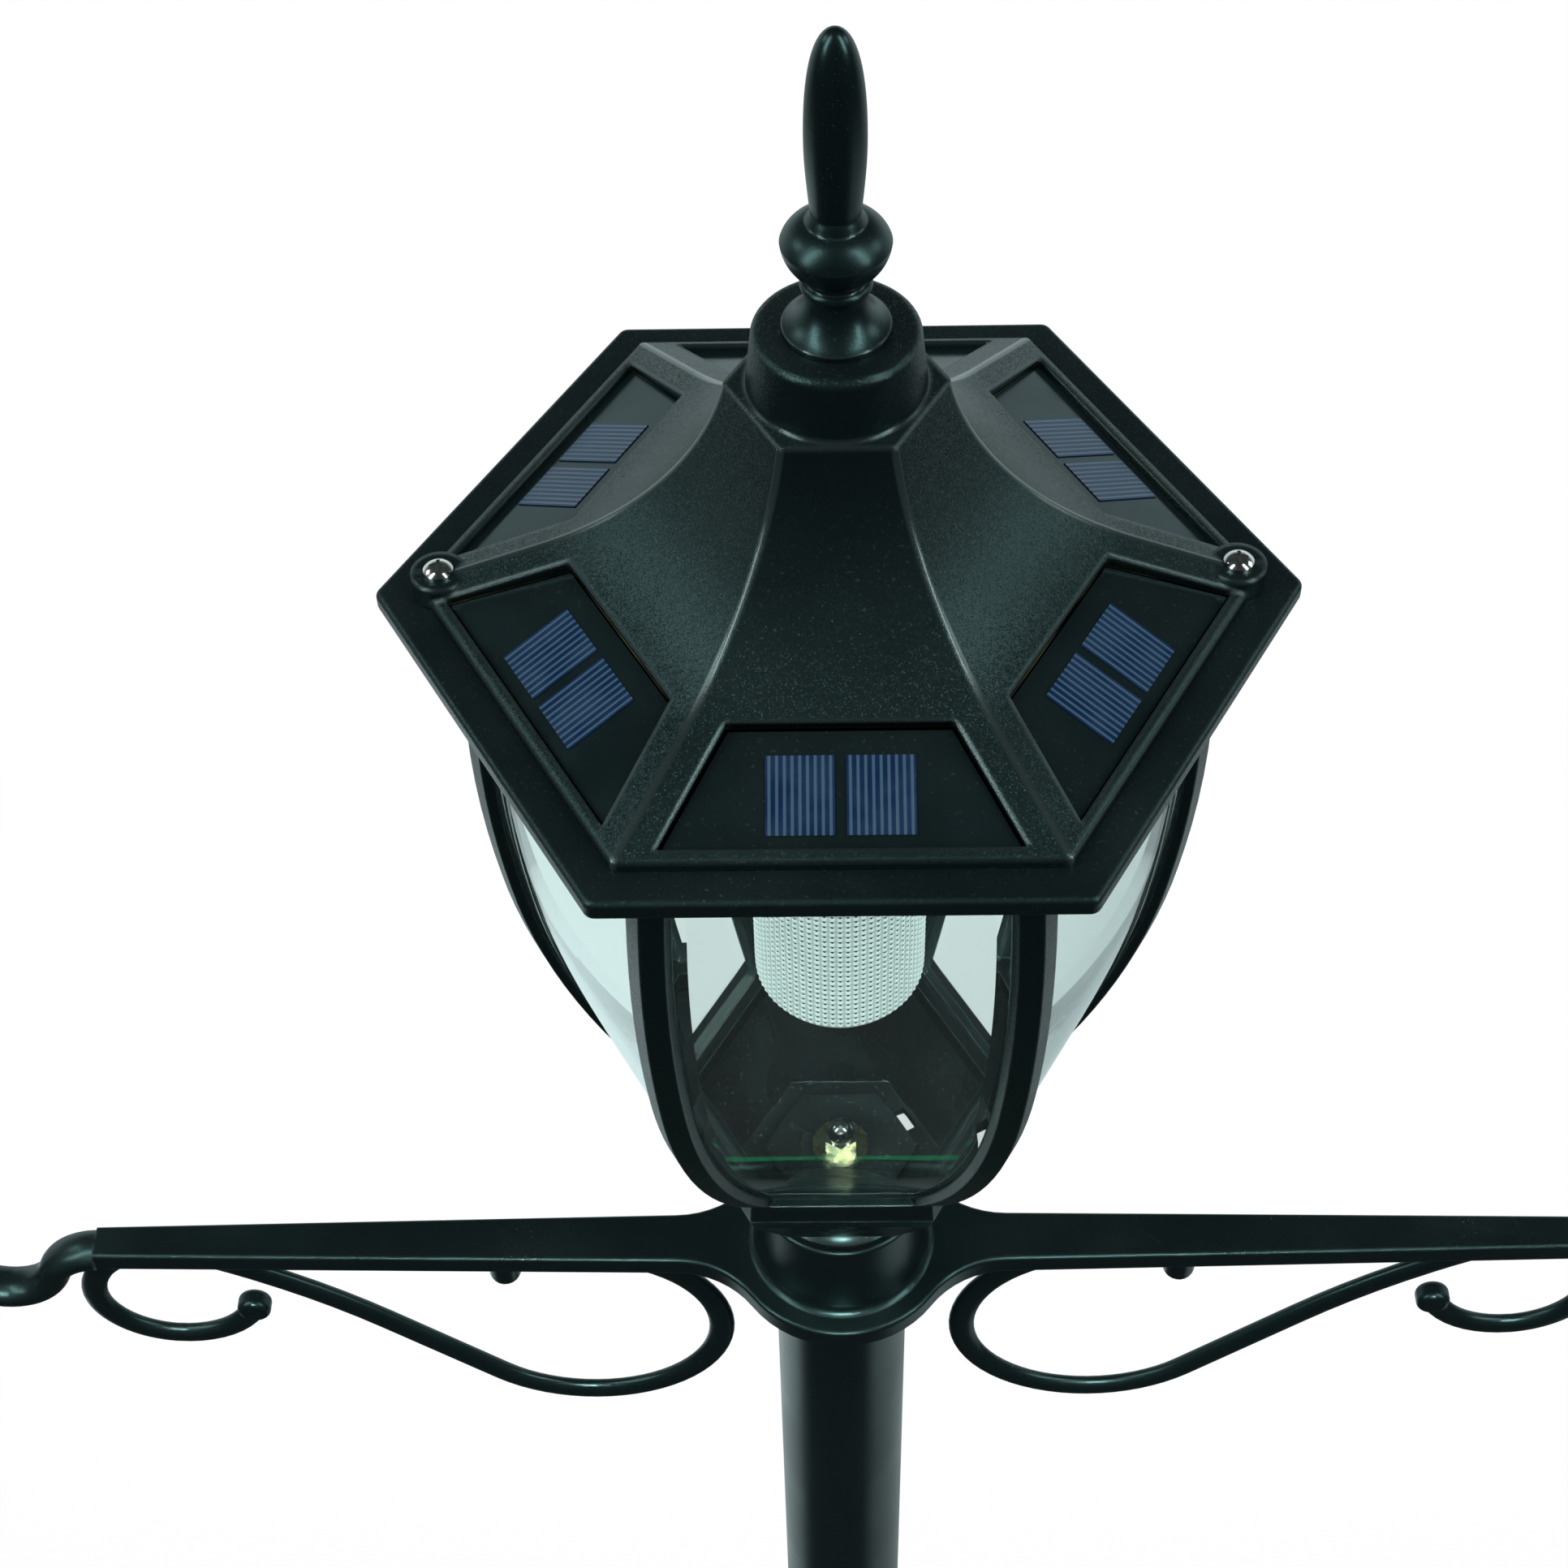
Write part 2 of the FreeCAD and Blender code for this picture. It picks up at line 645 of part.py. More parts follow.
def acorn_nut():
    body = new_body("acorn_nut")
    foot = f"({PAD} + washer_thickness)"
    across = "(nut_flats / 2 / cos(30))"
    corners = [(f"{across} * cos({angle})", f"{across} * sin({angle})") for angle in range(30, 390, 60)]
    corners = [("0" if angle in (90, 270) else x, y) for angle, (x, y) in zip(range(30, 390, 60), corners)]
    pad(body, draw(new_sketch(body, lift=foot), corners), "nut_hex")
    top, crown = f"{foot} + nut_height", f"{foot} + nut_height - nut_dome_radius"
    dome = [("0", foot), ("nut_dome_radius", foot), ("nut_dome_radius", crown),
            ("0", top, "nut_dome_radius", 1)]
    turn(body, draw(new_sketch(body, "XZ_Plane"), dome))
    doc.recompute()
    cut(body, circle(new_sketch(body, lift=foot), "0", "0", "thread_radius + fit"), "nut_grip + fit")


def cage_curve(shift):
    """The bent side of the lantern from its foot up to the rim, moved inwards by a shift."""
    foot = (f"cage_foot_apothem - ({shift})", SILL)
    knee = (f"cage_knee_apothem - ({shift})", f"{RIM} - cage_knee", "cage_bend_radius", 1)
    top = (f"cage_top_apothem - ({shift})", f"{RIM} - rim_height", "cage_side_radius", 1)
    return [foot, knee, top]


def reverse_curve(corners):
    """The same corners walked the other way, with each arc bent the other way."""
    bends = [corner[2:] for corner in corners[1:]]
    back = [corners[-1][:2]]
    for corner, bend in zip(corners[-2::-1], bends[::-1]):
        back.append((*corner[:2], bend[0], -bend[1]) if bend else corner[:2])
    return back


def lantern_cage():
    """Rim, six angle ribs and foot ring as one casting."""
    body = new_body("lantern_cage")
    inner = cage_curve("cage_wall")
    profile = [("cup_top_apothem", CAGE)] + cage_curve("0")
    profile += [("rim_apothem", f"{RIM} - rim_height"), ("rim_apothem", RIM), (inner[-1][0], RIM)]
    profile += reverse_curve(inner)
    profile += [("cage_foot_inner", SILL), ("cage_foot_inner", CAGE)]
    pad(body, draw(new_sketch(body, "YZ_Plane"), profile), "rim_apothem * 2", Midplane=True)
    mitre(body, "rim_apothem * 1.1")
    apex, reach = "(cage_leg / tan(30))", "(rim_apothem * 1.1)"
    wide = f"({reach} - {apex}) * tan(30)"
    window = [("0", apex), (wide, reach), (f"-({wide})", reach)]
    cut(body, draw(new_sketch(body, lift=f"{SILL} + cage_sill"), window),
        f"{RIM} - rim_height - {SILL} - cage_sill")
    six(body)
    corner, top, under = number("rim_apothem / cos(30)"), number(RIM), number(f"{RIM} - rim_height")
    round_edges(body, "rim_corner", lambda e: upright(e) and abs(from_axis(e.CenterOfMass) - corner) < 0.01)
    outside = number("rim_apothem - rim_corner")
    round_edges(body, "rim_round", lambda e: on_level(e, top) and from_axis(e.CenterOfMass) > outside)
    round_edges(body, "rim_round", lambda e: on_level(e, under) and from_axis(e.CenterOfMass) > outside)
    holes = new_sketch(body, lift=f"{RIM} - screw_length")
    for x in ("ear_place", "-ear_place"):
        circle(holes, x, "0", "screw_radius + fit")
    cut(body, holes, "screw_length + 1")


def glass_pane(index):
    body = new_body(f"glass_pane_{index}")
    outside = cage_curve("cage_wall + pane_play")
    inside = cage_curve("cage_wall + pane_play + pane_thickness")
    top = f"{RIM} - 0.5"
    profile = outside + [(outside[-1][0], top), (inside[-1][0], top)] + reverse_curve(inside)
    pad(body, draw(new_sketch(body, "YZ_Plane"), profile), "rim_apothem * 2", Midplane=True)
    apex, reach = "(pane_side / tan(30))", "(rim_apothem * 1.1)"
    for side in ("", "-"):
        wide = f"{side}({reach} - {apex}) * tan(30)"
        outer = [("0", apex), ("0", "0"), (f"{side}{reach}", "0"), (f"{side}{reach}", reach), (wide, reach)]
        cut(body, draw(new_sketch(body), outer if side == "" else outer[::-1]))
    body.Placement = Placement(Vector(), Rotation(Vector(0, 0, 1), 60 * index))


# The panels lie a little flatter than the facets; their slope is followed up to the axis.
PANEL_SLOPE = "(roof_slope - window_tilt)"
WINDOW_FOOT = "(lip_apothem - window_bottom * cos(roof_slope))"
WINDOW_LEVEL = f"({RIM} + lip_height + window_bottom * sin(roof_slope) - window_depth / cos(roof_slope))"
SLOPE_START = f"({WINDOW_LEVEL} + {WINDOW_FOOT} * tan{PANEL_SLOPE})"
WINDOW_REACH = f"({WINDOW_FOOT} / cos{PANEL_SLOPE})"


def slope_sketch(body, lift):
    """A sketch on the slope of the panels: its y runs down the slope from the axis."""
    sketch = new_sketch(body)
    sketch.AttachmentOffset = Placement(Vector(), Rotation(Vector(1, 0, 0), -number(PANEL_SLOPE)))
    sketch.setExpression("AttachmentOffset.Rotation.Angle", formula(f"-{PANEL_SLOPE}"))
    sketch.setExpression("AttachmentOffset.Base.y", formula(f"({lift}) * sin{PANEL_SLOPE}"))
    sketch.setExpression("AttachmentOffset.Base.z", formula(f"{SLOPE_START} + ({lift}) * cos{PANEL_SLOPE}"))
    return sketch


def window_outline(play):
    high, low = f"({WINDOW_REACH} - window_top + window_bottom + {play})", f"({WINDOW_REACH} - {play})"
    strip = f"(window_strip + {play})"
    half = [f"({level} * cos{PANEL_SLOPE} * tan(30) - {strip})" for level in (high, low)]
    return [(f"-{half[0]}", high), (half[0], high), (half[1], low), (f"-{half[1]}", low)]


def under_slope(apothem):
    """The level of the roof's inner face on its straight slope."""
    rise = f"(lip_apothem - {apothem}) * tan(roof_slope)"
    return f"({RIM} + lip_height + {rise} - roof_wall / cos(roof_slope))"


INNER_RISE = "(plate_thickness + plate_play - lip_height + roof_wall / cos(roof_slope))"
INNER_EDGE = f"(lip_apothem - {INNER_RISE} / tan(roof_slope))"


def roof_cap():
    """Bell-shaped roof with a window in each facet, collar and two screw ears, one moulding."""
    body = new_body("roof_cap")
    foot = ("(lip_apothem - roof_straight * cos(roof_slope))",
            f"({RIM} + lip_height + roof_straight * sin(roof_slope))")
    ledge = ("ledge_apothem", f"({RIM} + ledge_height)")

    def bend(start, end):
        run, rise = f"({end[0]} - {start[0]})", f"({end[1]} - {start[1]})"
        return f"(({run} ^ 2 + {rise} ^ 2) / 2 / ({run} * sin(roof_slope) + {rise} * cos(roof_slope)))"

    inner_foot = (f"({foot[0]} - roof_wall * sin(roof_slope))", f"({foot[1]} - roof_wall * cos(roof_slope))")
    inner_top = ("(ledge_apothem - roof_top_wall)", f"({RIM} + ledge_height - roof_top_wall)")
    ease = "(lip_round * tan((90 - roof_slope) / 2))"
    lip = ("lip_apothem", f"({RIM} + lip_height - {ease})")
    shoulder = (f"(lip_apothem - {ease} * cos(roof_slope))",
                f"({RIM} + lip_height + {ease} * sin(roof_slope))")
    profile = [("lip_apothem", RIM), lip, (*shoulder, "lip_round", 1), foot, (*ledge, bend(foot, ledge), -1),
               ("0", ledge[1]), ("0", inner_top[1]), inner_top, (*inner_foot, bend(inner_foot, inner_top), 1),
               (INNER_EDGE, f"{PLATE_TOP} + plate_play"), (INNER_EDGE, RIM)]
    pad(body, draw(new_sketch(body, "YZ_Plane"), profile), "lip_apothem * 2", Midplane=True)
    mitre(body, "lip_apothem * 1.1")
    window = draw(slope_sketch(body, "8"), window_outline("0"))
    cut(body, window, "8 + panel_thickness", up=False)
    boss = circle(new_sketch(body, lift=PLATE_TOP), "0", "plate_screw_place", "plate_boss_radius")
    pad(body, boss, f"{under_slope('plate_screw_place')} + 1 - {PLATE_TOP}")
    bore = circle(new_sketch(body, lift=PLATE_TOP), "0", "plate_screw_place", "tapper_radius + fit")
    cut(body, bore, "tapper_length - plate_thickness")
    six(body)
    corners = [("lip_apothem", RIM), lip, shoulder, foot, ledge]
    stations = [(number(f"{apothem} / cos(30)"), number(level)) for apothem, level in corners]

    def at_corner(vertex):
        return any(math.hypot(from_axis(vertex.Point) - r, vertex.Z - z) < 0.01 for r, z in stations)

    round_edges(body, "hip_round", lambda e: e.BoundBox.ZLength > 0.01 and all(map(at_corner, e.Vertexes)))
    base = f"({RIM} + ledge_height)"
    bore, root = "finial_stud_radius + fit", f"{base} - roof_top_wall"
    collar = [(bore, root), ("collar_radius - collar_round", root), ("collar_radius", base),
              ("collar_top_radius", f"{COLLAR_TOP} - collar_round"),
              ("collar_top_radius - collar_round", COLLAR_TOP, "collar_round", 1), (bore, COLLAR_TOP)]
    turn(body, draw(new_sketch(body, "XZ_Plane"), collar))
    ears = new_sketch(body, lift=RIM)
    for x in ("ear_place", "-ear_place"):
        circle(ears, x, "0", "ear_radius")
    pad(body, ears, "ear_height")
    doc.recompute()
    holes = new_sketch(body, lift=RIM)
    for x in ("ear_place", "-ear_place"):
        circle(holes, x, "0", "ear_hole / 2")
    cut(body, holes, "ear_height")
    bore = circle(new_sketch(body, lift=f"{base} - roof_top_wall - 1"), "0", "0", "finial_stud_radius + fit")
    cut(body, bore, "roof_top_wall + 2")


def solar_panel(index):
    body = new_body(f"solar_panel_{index}")
    sketch = draw(slope_sketch(body, "-panel_thickness"), window_outline("panel_play"))
    pad(body, sketch, "panel_thickness")
    body.Placement = Placement(Vector(), Rotation(Vector(0, 0, 1), 60 * index))


def solar_cells(index):
    body = new_body(f"solar_cells_{index}", several=True)
    sketch = slope_sketch(body, "0")
    middle = f"{WINDOW_REACH} - cell_bottom - cell_length / 2"
    for side in (-1, 1):
        rectangle(sketch, f"{side} * (cell_width + cell_gap) / 2", middle, "cell_width", "cell_length")
    pad(body, sketch, "cell_thickness")
    body.Placement = Placement(Vector(), Rotation(Vector(0, 0, 1), 60 * index))


def finial():
    body = new_body("finial")
    z = f"{COLLAR_TOP}"
    waist, neck, belly = "finial_waist_radius", "finial_neck_radius", "finial_spindle_radius"
    share = "finial_length / finial_drawn"
    bulge = "(finial_ring_radius - finial_waist_radius)"
    ring = f"(((1.5 * {share}) ^ 2 + {bulge} ^ 2) / 2 / {bulge})"

    def up(height):
        return f"{z} + {height} * {share}"

    end = f"{z} - finial_stud"
    profile = [("0", end), ("finial_stud_radius", end), ("finial_stud_radius", z),
               ("finial_foot_radius", z), ("finial_foot_radius", up(1.6)),
               (waist, up(11.6), "11", -1), (waist, up(12)),
               (waist, up(15), ring, 1), (waist, up(16.4)),
               ("finial_bead_radius", up(25.6), "12", 1), (f"{neck} + 1.2", up(31.4), "8.6", 1),
               (f"{neck} + 0.5", up(33)), (neck, up(34)),
               (belly, up(54), ((f"({neck} + {belly}) / 2", up(41)), (belly, up(47)))),
               ("0", up(82.4), ((belly, up(70)), (f"{belly} * 0.73", up(82.4))))]
    turn(body, draw(new_sketch(body, "XZ_Plane"), profile))


def roof_screw(side, x):
    """Pan-head screw with a cross recess."""
    body = new_body(f"roof_screw_{side}")
    foot = f"({RIM} + ear_height)"
    crown = "(screw_head * 0.65)"
    dome = f"((screw_head_radius ^ 2 + {crown} ^ 2) / 2 / {crown})"
    end = f"{foot} - screw_length"
    profile = [("0", end), ("screw_radius", end), ("screw_radius", foot),
               ("screw_head_radius", foot), ("screw_head_radius", f"{foot} + screw_head - {crown}"),
               ("0", f"{foot} + screw_head", dome, 1)]
    turn(body, draw(new_sketch(body, "XZ_Plane"), profile))
    doc.recompute()
    for width, depth in (("screw_head_radius * 1.15", "0.9"), ("0.9", "screw_head_radius * 1.15")):
        slot = rectangle(new_sketch(body, lift=f"{foot} + screw_head * 0.45"), "0", "0", width, depth)
        cut(body, slot, "screw_head")
    body.setExpression("Placement.Base.x", formula(x))


def cover_plate():
    """Closes the roof from below and carries the light, the battery and the switch."""
    body = new_body("cover_plate")
    corner = f"(({INNER_EDGE} - plate_play) / cos(30))"
    corners = []
    for angle in range(0, 360, 60):
        corners.append((f"{corner} * cos({angle})", f"{corner} * sin({angle})" if angle % 180 else "0"))
    pad(body, draw(new_sketch(body, lift=RIM), corners), "plate_thickness")
    posts = new_sketch(body, lift=PLATE_TOP)
    for x in (-1, 1):
        for y in (-1, 1):
            across, along = (f"(control_{side} / 2 - control_inset)" for side in ("width", "depth"))
            circle(posts, f"{x} * {across}", f"-control_y + {y} * {along}", "control_post")
    pad(body, posts, "control_lift")
    doc.recompute()
    holes = new_sketch(body, lift=f"{RIM} - 1")
    for angle in range(30, 390, 60):
        x = "0" if angle in (90, 270) else f"plate_screw_place * cos({angle})"
        circle(holes, x, f"plate_screw_place * sin({angle})", "tapper_radius + fit * 2")
    cut(body, holes, "plate_thickness + 2")
    slot = new_sketch(body, lift=f"{RIM} - 1")
    length = "slider_knob + slider_travel + slider_play * 2"
    rectangle(slot, "0", "-switch_y", length, "slider_knob + slider_play * 2")
    cut(body, slot, "plate_thickness + 2")


def plate_screws():
    """The six tapping screws that hold the cover plate up against the roof's bosses."""
    body = new_body("plate_screws", several=True)
    shank = "tapper_head + tapper_length - 1"
    for radius, length in (("tapper_head_radius", "tapper_head"), ("tapper_radius", shank)):
        sketch = new_sketch(body, lift=f"{RIM} - tapper_head")
        for angle in range(30, 390, 60):
            x = "0" if angle in (90, 270) else f"plate_screw_place * cos({angle})"
            circle(sketch, x, f"plate_screw_place * sin({angle})", radius)
        pad(body, sketch, length)


def lens():
    """Clear cylinder with a flange above and a rounded closed end below."""
    body = new_body("lens")
    inner, end = "(lens_radius - lens_wall)", f"({RIM} - lens_drop)"
    flat, start, under = "lens_radius - lens_round", f"{end} + lens_round", f"{RIM} - lens_flange"
    profile = [("0", end), (flat, end), ("lens_radius", start, "lens_round", 1), ("lens_radius", under),
               ("lens_flange_radius", under), ("lens_flange_radius", RIM), (inner, RIM), (inner, start),
               (flat, f"{end} + lens_wall", "lens_round - lens_wall", -1), ("0", f"{end} + lens_wall")]
    turn(body, draw(new_sketch(body, "XZ_Plane"), profile))


def led_board():
    board = doc.addObject("Part::Cylinder", "led_board")
    board.Label = "led_board"
    board.setExpression("Radius", formula("board_radius"))
    board.setExpression("Height", formula("board_thickness"))
    board.setExpression("Placement.Base.z", formula(f"{RIM} - board_thickness"))


def leds():
    body = new_body("leds", several=True)
    sketch = new_sketch(body, lift=f"{RIM} - board_thickness - led_radius")
    for angle in range(0, 360, 60):
        y = f"led_circle * sin({angle})" if angle % 180 else "0"
        circle(sketch, f"led_circle * cos({angle})", y, "led_radius")
    pad(body, sketch, "led_radius")


def battery_holder():
    body = new_body("battery_holder")
    wide = "(battery_radius * 2 + holder_play * 2 + holder_wall * 2)"
    long = "(battery_length + holder_play * 2 + holder_wall * 2)"
    block = rectangle(new_sketch(body, lift=PLATE_TOP), "0", "battery_y", long, wide)
    pad(body, block, "holder_wall + battery_radius")
    doc.recompute()
    tray = rectangle(new_sketch(body, lift=f"{PLATE_TOP} + holder_wall"), "0", "battery_y",
                     f"{long} - holder_wall * 2", f"{wide} - holder_wall * 2")
    cut(body, tray, "battery_radius + 1")


def battery():
    cell = doc.addObject("Part::Cylinder", "battery")
    cell.Label = "battery"
    cell.setExpression("Radius", formula("battery_radius"))
    cell.setExpression("Height", formula("battery_length"))
    cell.Placement = Placement(Vector(), Rotation(Vector(0, 1, 0), 90))
    cell.setExpression("Placement.Base.x", formula("-battery_length / 2"))
    cell.setExpression("Placement.Base.y", formula("battery_y"))
    cell.setExpression("Placement.Base.z", formula(f"{PLATE_TOP} + holder_wall + fit + battery_radius"))


def control_board():
    board = doc.addObject("Part::Box", "control_board")
    board.Label = "control_board"
    board.setExpression("Length", formula("control_width"))
    board.setExpression("Width", formula("control_depth"))
    board.setExpression("Height", formula("board_thickness"))
    board.setExpression("Placement.Base.x", formula("-control_width / 2"))
    board.setExpression("Placement.Base.y", formula("-control_y - control_depth / 2"))
    board.setExpression("Placement.Base.z", formula(f"{PLATE_TOP} + control_lift"))


def switch_body():
    body = new_body("switch_body")
    block = rectangle(new_sketch(body, lift=PLATE_TOP), "0", "-switch_y", "switch_length", "switch_depth")
    pad(body, block, "switch_height")
    doc.recompute()
    hollow = rectangle(new_sketch(body, lift=PLATE_TOP), "0", "-switch_y", "switch_length - switch_wall * 2",
                       "switch_depth - switch_wall * 2")
    cut(body, hollow, "switch_height - switch_wall")


def switch_slider():
    body = new_body("switch_slider")
    rest = "-slider_travel / 2"
    depth = "switch_depth - switch_wall * 2 - slider_play * 2"
    flange = new_sketch(body, lift=f"{PLATE_TOP} + slider_play")
    pad(body, rectangle(flange, rest, "-switch_y", "slider_length", depth), "slider_flange")
    knob = new_sketch(body, lift=f"{RIM} - slider_drop")
    rectangle(knob, rest, "-switch_y", "slider_knob", "slider_knob")
    pad(body, knob, "slider_drop + plate_thickness + slider_play + slider_flange / 2")


base_flange()
post()
post_plug()
tie_stud()
hanger_arm()
base_cup()
washer()
acorn_nut()
lantern_cage()
roof_cap()
finial()
roof_screw("right", "ear_place")
roof_screw("left", "-ear_place")
for facet in range(6):
    glass_pane(facet + 1)
    solar_panel(facet + 1)
    solar_cells(facet + 1)
cover_plate()
plate_screws()
lens()
led_board()
leds()
battery_holder()
battery()
control_board()
switch_body()
switch_slider()

doc.recompute()
PIECES = [item for item in doc.Objects if item.TypeId == "PartDesign::Body"]
PIECES += [item for item in doc.Objects if item.TypeId.startswith("Part::") and not item.InList]
faults = [item.Label for item in doc.Objects if {"Invalid", "Error"} & set(item.State)]
faults += [item.Label for item in PIECES if item.Shape.isNull() or not item.Shape.isValid()]
if faults:
    raise SystemExit("faulty: " + ", ".join(sorted(set(faults))))
os.makedirs("parts", exist_ok=True)
for item in PIECES:
    item.Shape.exportStep(f"parts/{item.Label}.step")
print(len(PIECES), "pieces")
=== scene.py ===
"""Looks of the solar lamp post: finishes, bevelled panes, prismatic lens, printed cells and a plain studio.

Metres, Z up, base on Z = 0, arms along X, front towards -Y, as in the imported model.
"""

from __future__ import annotations

import logging
import math
from dataclasses import dataclass, field
from enum import Enum
from typing import Any

import bpy
import numpy as np
from mathutils import Matrix, Vector

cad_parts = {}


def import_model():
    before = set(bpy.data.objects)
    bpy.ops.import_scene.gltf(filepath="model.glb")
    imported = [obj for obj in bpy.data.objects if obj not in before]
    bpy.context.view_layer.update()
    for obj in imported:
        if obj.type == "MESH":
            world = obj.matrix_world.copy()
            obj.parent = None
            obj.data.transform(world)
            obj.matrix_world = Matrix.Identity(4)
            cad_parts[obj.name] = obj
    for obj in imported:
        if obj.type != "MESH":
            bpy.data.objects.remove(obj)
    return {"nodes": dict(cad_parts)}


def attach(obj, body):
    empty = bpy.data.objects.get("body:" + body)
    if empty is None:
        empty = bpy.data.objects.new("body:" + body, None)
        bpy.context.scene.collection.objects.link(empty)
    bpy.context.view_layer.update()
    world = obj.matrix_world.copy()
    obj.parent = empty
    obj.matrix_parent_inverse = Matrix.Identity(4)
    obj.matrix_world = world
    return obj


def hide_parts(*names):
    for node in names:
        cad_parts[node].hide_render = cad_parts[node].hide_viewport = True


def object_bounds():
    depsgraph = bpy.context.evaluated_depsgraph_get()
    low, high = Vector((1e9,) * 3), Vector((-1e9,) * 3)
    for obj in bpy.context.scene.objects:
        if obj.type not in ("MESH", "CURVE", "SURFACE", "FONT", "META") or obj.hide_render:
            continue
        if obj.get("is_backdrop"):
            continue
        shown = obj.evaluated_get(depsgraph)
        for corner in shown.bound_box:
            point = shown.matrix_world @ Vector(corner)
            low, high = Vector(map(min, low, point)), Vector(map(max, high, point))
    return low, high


LOG = logging.getLogger("lamp_post")
MM = 0.001
FACETS = 6
HALF_FACET = math.pi / FACETS
FACET_SLOPE = math.tan(HALF_FACET)
LENS_PRISMS = 70
LAMP_BODY = "lamp"

Tone = tuple[float, float, float]
Place = tuple[float, float, float]
Span = tuple[float, float]
Node = bpy.types.Node
Socket = bpy.types.NodeSocket


class Slot(Enum):
    """The finishes; a new piece's finish is also the record's material slot of that name."""

    SATIN_BLACK = "satin_black"
    GLOSS_BLACK = "gloss_black"
    SAND_BLACK = "sand_black"
    SAND_BLACK_METAL = "sand_black_metal"
    PANE_GLASS = "pane_glass"
    LENS_CLEAR = "lens_clear"
    PANEL_LAMINATE = "panel_laminate"
    CELL_SILICON = "cell_silicon"
    NICKEL = "nickel"
    YELLOW_ZINC = "yellow_zinc"
    PLAIN_STEEL = "plain_steel"
    INNER_BLACK = "inner_black"
    BOARD_GREEN = "board_green"
    BOARD_WHITE = "board_white"
    LED_RESIN = "led_resin"
    BATTERY_SLEEVE = "battery_sleeve"
    SLIDER_WHITE = "slider_white"


class Graph:
    """Places and joins the nodes of one tree."""

    def __init__(self, tree: bpy.types.NodeTree) -> None:
        """Takes over a tree and empties it.

        Args:
            tree: the node tree to fill.
        """
        self.tree = tree
        tree.nodes.clear()

    def node(self, kind: str, inputs: dict[Any, Any] | None = None, **settings: Any) -> Node:
        """Adds a node.

        Args:
            kind: the node's type name after "ShaderNode".
            inputs: for each socket, by name or number, a value or the output that feeds it.
            settings: plain properties of the node.

        Returns:
            The new node.
        """
        made = self.tree.nodes.new(f"ShaderNode{kind}")
        for key, value in settings.items():
            setattr(made, key, value)
        for key, value in (inputs or {}).items():
            self.feed(made.inputs[key], value)
        return made

    def feed(self, socket: Socket, value: Any) -> None:
        """Links an output to a socket, or sets the socket's own value.

        Args:
            socket: the input socket.
            value: an output socket, a number, or a colour of three parts.
        """
        if isinstance(value, bpy.types.NodeSocket):
            self.tree.links.new(value, socket)
            return
        if socket.type == "RGBA" and len(value) == 3:
            value = (*value, 1.0)
        socket.default_value = value

    def math(self, operation: str, *values: Any, clamp: bool = False) -> Socket:
        """The outcome of one sum.

        Args:
            operation: the Math node's operation.
            values: its inputs in order.
            clamp: whether the outcome is kept between 0 and 1.

        Returns:
            The output socket.
        """
        return self.node("Math", dict(enumerate(values)), operation=operation, use_clamp=clamp).outputs[0]

    def vector(self, operation: str, *values: Any) -> Socket:
        """The vector that one sum of vectors gives.

        Args:
            operation: the Vector Math node's operation.
            values: its inputs in order.

        Returns:
            The output socket.
        """
        return self.node("VectorMath", dict(enumerate(values)), operation=operation).outputs["Vector"]

    def ramp(self, value: Any, low: float, high: float, start: float = 0.0, end: float = 1.0) -> Socket:
        """A value carried smoothly from one range to another.

        Args:
            value: the output that is read.
            low: where the change begins.
            high: where it ends.
            start: the outcome at low.
            end: the outcome at high.

        Returns:
            The output socket.
        """
        sockets = {"Value": value, "From Min": low, "From Max": high, "To Min": start, "To Max": end}
        return self.node("MapRange", sockets, interpolation_type="SMOOTHSTEP").outputs["Result"]

    def blend(self, share: Any, first: Any, second: Any) -> Socket:
        """Two colours mixed by a share.

        Args:
            share: 0 for the first, 1 for the second.
            first: a colour or output.
            second: a colour or output.

        Returns:
            The colour output.
        """
        sockets = {"Factor": share, 6: first, 7: second}
        return self.node("Mix", sockets, data_type="RGBA").outputs[2]

    def place(self) -> Any:
        """The Object coordinates, split into X, Y and Z."""
        return self.node("SeparateXYZ", {0: self.node("TexCoord").outputs["Object"]}).outputs

    def hypot(self, first: Any, second: Any) -> Socket:
        """The root of the sum of two squares."""
        return self.math("SQRT", self.math("ADD", self.math("POWER", first, 2.0), self.math("POWER", second, 2.0)))

    def stray(self, count: Any) -> Socket:
        """How far a count lies from the nearest whole number, from -0.5 to 0.5."""
        return self.math("SUBTRACT", self.math("FRACT", self.math("ADD", count, 0.5)), 0.5)


def new_group(
    name: str, inputs: dict[str, float], outputs: tuple[str, ...], kind: str = "NodeSocketFloat"
) -> tuple[Graph, Any, Any]:
    """Starts a node group that takes numbers.

    Args:
        name: the group's name.
        inputs: input names with their usual values.
        outputs: output names.
        kind: the socket type of the outputs.

    Returns:
        The group's graph, its input node and its output node.
    """
    tree = bpy.data.node_groups.new(name, "ShaderNodeTree")
    for label, usual in inputs.items():
        tree.interface.new_socket(label, in_out="INPUT", socket_type="NodeSocketFloat").default_value = usual
    for label in outputs:
        tree.interface.new_socket(label, in_out="OUTPUT", socket_type=kind)
    graph = Graph(tree)
    return graph, graph.tree.nodes.new("NodeGroupInput"), graph.tree.nodes.new("NodeGroupOutput")


